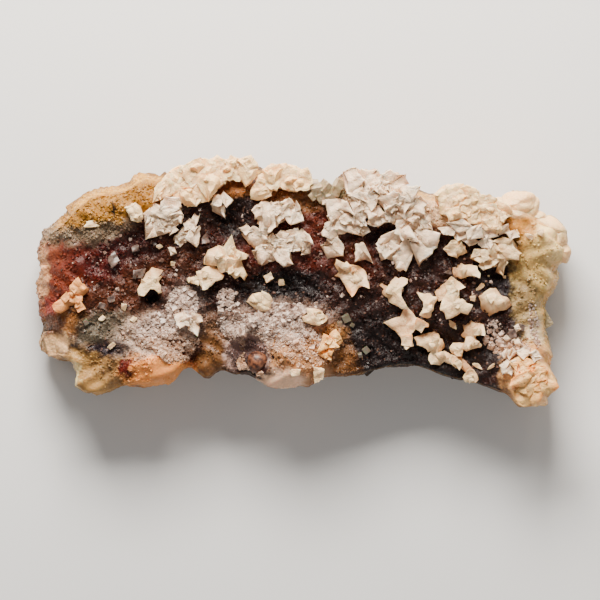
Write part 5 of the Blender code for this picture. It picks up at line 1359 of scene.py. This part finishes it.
# Cubes of the broken walls: larger fluorite cubes, grown in the slab and laid bare where
# it broke, that stand half out of its side. Each: x, y, z, edge, turn and tilt.
WALL_CUBES = (
    (-49.4, -11.8, 9.6, 5.0, 12, 8), (-41.6, -17.4, 10.2, 6.0, 38, 14),
    (-30.4, -16.6, 13.2, 5.6, 8, 12), (-3.6, -15.6, 10.6, 7.4, 30, 10),
    (12.4, -14.6, 7.6, 5.6, 42, 18), (30.6, -15.4, 8.2, 5.6, 28, 12),
    (45.0, -20.0, 10.2, 6.0, 20, 10), (-43.4, 13.6, 10.6, 6.0, 34, 22),
    (-27.4, 17.4, 8.6, 6.0, 44, 28), (-4.4, 18.4, 7.8, 6.4, 36, 24),
    (15.8, 17.2, 7.6, 6.0, 48, 30), (36.6, 12.8, 8.8, 5.2, 32, 26),
    (48.4, 8.6, 12.2, 5.0, 40, 12), (46.2, -7.0, 8.8, 5.4, 30, 14),
    (-49.6, 2.0, 8.6, 5.4, 20, 16),
)
cube_piece("wall_cubes", WALL_CUBES, grain_finish, 0.25)

# Dome of the vug: a smooth glassy bead of honey-brown fluorite, grown on the floor of
# the round vug near the near rim. Its x, y, height over the floor, radius and half height.
BEAD = (-9.2, -16.0, 0.2, 2.2, 1.9)


def bead_shape(x, y, z, radius, height):
    """Closed ellipsoid: circles whose radius goes with the sine, and whose height goes
    with the cosine, of the angle from its top, swollen a little by a wave around it."""
    down = np.linspace(0, np.pi, 17)[:, None]
    around = np.linspace(0, 2 * np.pi, 33)[None, :-1]
    swell = 1 + 0.05 * np.sin(3 * around + 1) * np.sin(down)
    return np.stack((
        x + radius * swell * np.sin(down) * np.cos(around),
        y + radius * swell * np.sin(down) * np.sin(around),
        z + height * np.cos(down) + 0 * around,
    ), axis=-1)


bead = bead_shape(*BEAD)
bead[..., 2] += height_at(*BEAD[:2], crust_height)
dome = make_piece("vug_dome", bead.reshape(-1, 3), ring_faces(*bead.shape[:2], 0))
amber, amber_shader, amber_place = new_finish(
    "amber_finish", Coat_Weight=0.3, Coat_Roughness=0.25, IOR=1.434,
)
veins = noise(amber_place, 1.3, 5.0)
amber_colour = veins.mix(veins.smooth(0.35, 0.65), paint(78, 42, 28), paint(150, 104, 76))
connect(amber_shader, amber_colour, 0.45 + 0.3 * veins, bump(veins, 0.6, 0.25))
dome.data.materials.append(amber)
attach(dome, "root")

# Floor, lights and camera: plain studio. The specimen lies on its back, and the camera
# looks straight down on the crystal side through a long lens; the light comes from the
# far rim's side.
FLOOR_SIZE = 900.0
FLOOR_LIFT = -0.05
CAMERA_HEIGHT = 1400.0
FOCUS_LEVEL = 15.0
PIXELS_PER_MM = 5.0
PHOTO_SIDE = 600
PHOTO_MIDDLE = (304.0, 282.0)
SENSOR = 36.0

corners = np.array([(-1, -1, 0), (1, -1, 0), (1, 1, 0), (-1, 1, 0)]) * FLOOR_SIZE / 2
floor = make_piece("floor", corners + (0, 0, FLOOR_LIFT), np.array([[0, 1, 2, 3]]))
paper, paper_shader, _ = new_finish("floor_paper", Roughness=0.8)
paper_shader.inputs["Base Color"].default_value = (0.82, 0.83, 0.84, 1.0)
floor.data.materials.append(paper)


def add_light(name, place, aim, size, power, colour):
    """Area lamp at a place, turned to its aim; both and its size in millimetres."""
    light = bpy.data.lights.new(name, "AREA")
    light.shape = "RECTANGLE"
    light.size, light.size_y = size[0] * MM, size[1] * MM
    light.energy, light.color = power, colour
    lamp = bpy.data.objects.new(name, light)
    bpy.context.scene.collection.objects.link(lamp)
    lamp.location = Vector(place) * MM
    lamp.rotation_euler = (Vector(aim) - Vector(place)).to_track_quat("-Z", "Y").to_euler()


add_light("key", (-50, 340, 280), (0, 0, 15), (260, 180), 6.6, (1.0, 0.93, 0.84))
add_light("rim", (10, 320, 60), (0, 20, 18), (300, 50), 1.6, (1.0, 0.85, 0.68))
add_light("fill", (140, -360, 300), (0, 0, 15), (400, 260), 0.5, (1.0, 0.93, 0.85))

world = bpy.data.worlds.new("studio")
world.use_nodes = True
world.node_tree.nodes["Background"].inputs["Color"].default_value = (0.88, 0.86, 0.84, 1.0)
world.node_tree.nodes["Background"].inputs["Strength"].default_value = 0.25
bpy.context.scene.world = world

camera_data = bpy.data.cameras.new("camera")
camera_data.sensor_width = SENSOR
view_width = PHOTO_SIDE / PIXELS_PER_MM
camera_data.lens = SENSOR * (CAMERA_HEIGHT - FOCUS_LEVEL) / view_width
camera_data.clip_start, camera_data.clip_end = 0.01, 10.0
camera = bpy.data.objects.new("camera", camera_data)
bpy.context.scene.collection.objects.link(camera)
aim_x = (PHOTO_SIDE / 2 - PHOTO_MIDDLE[0]) / PIXELS_PER_MM
aim_y = (PHOTO_MIDDLE[1] - PHOTO_SIDE / 2) / PIXELS_PER_MM
camera.location = Vector((aim_x, aim_y, CAMERA_HEIGHT)) * MM
bpy.context.scene.camera = camera
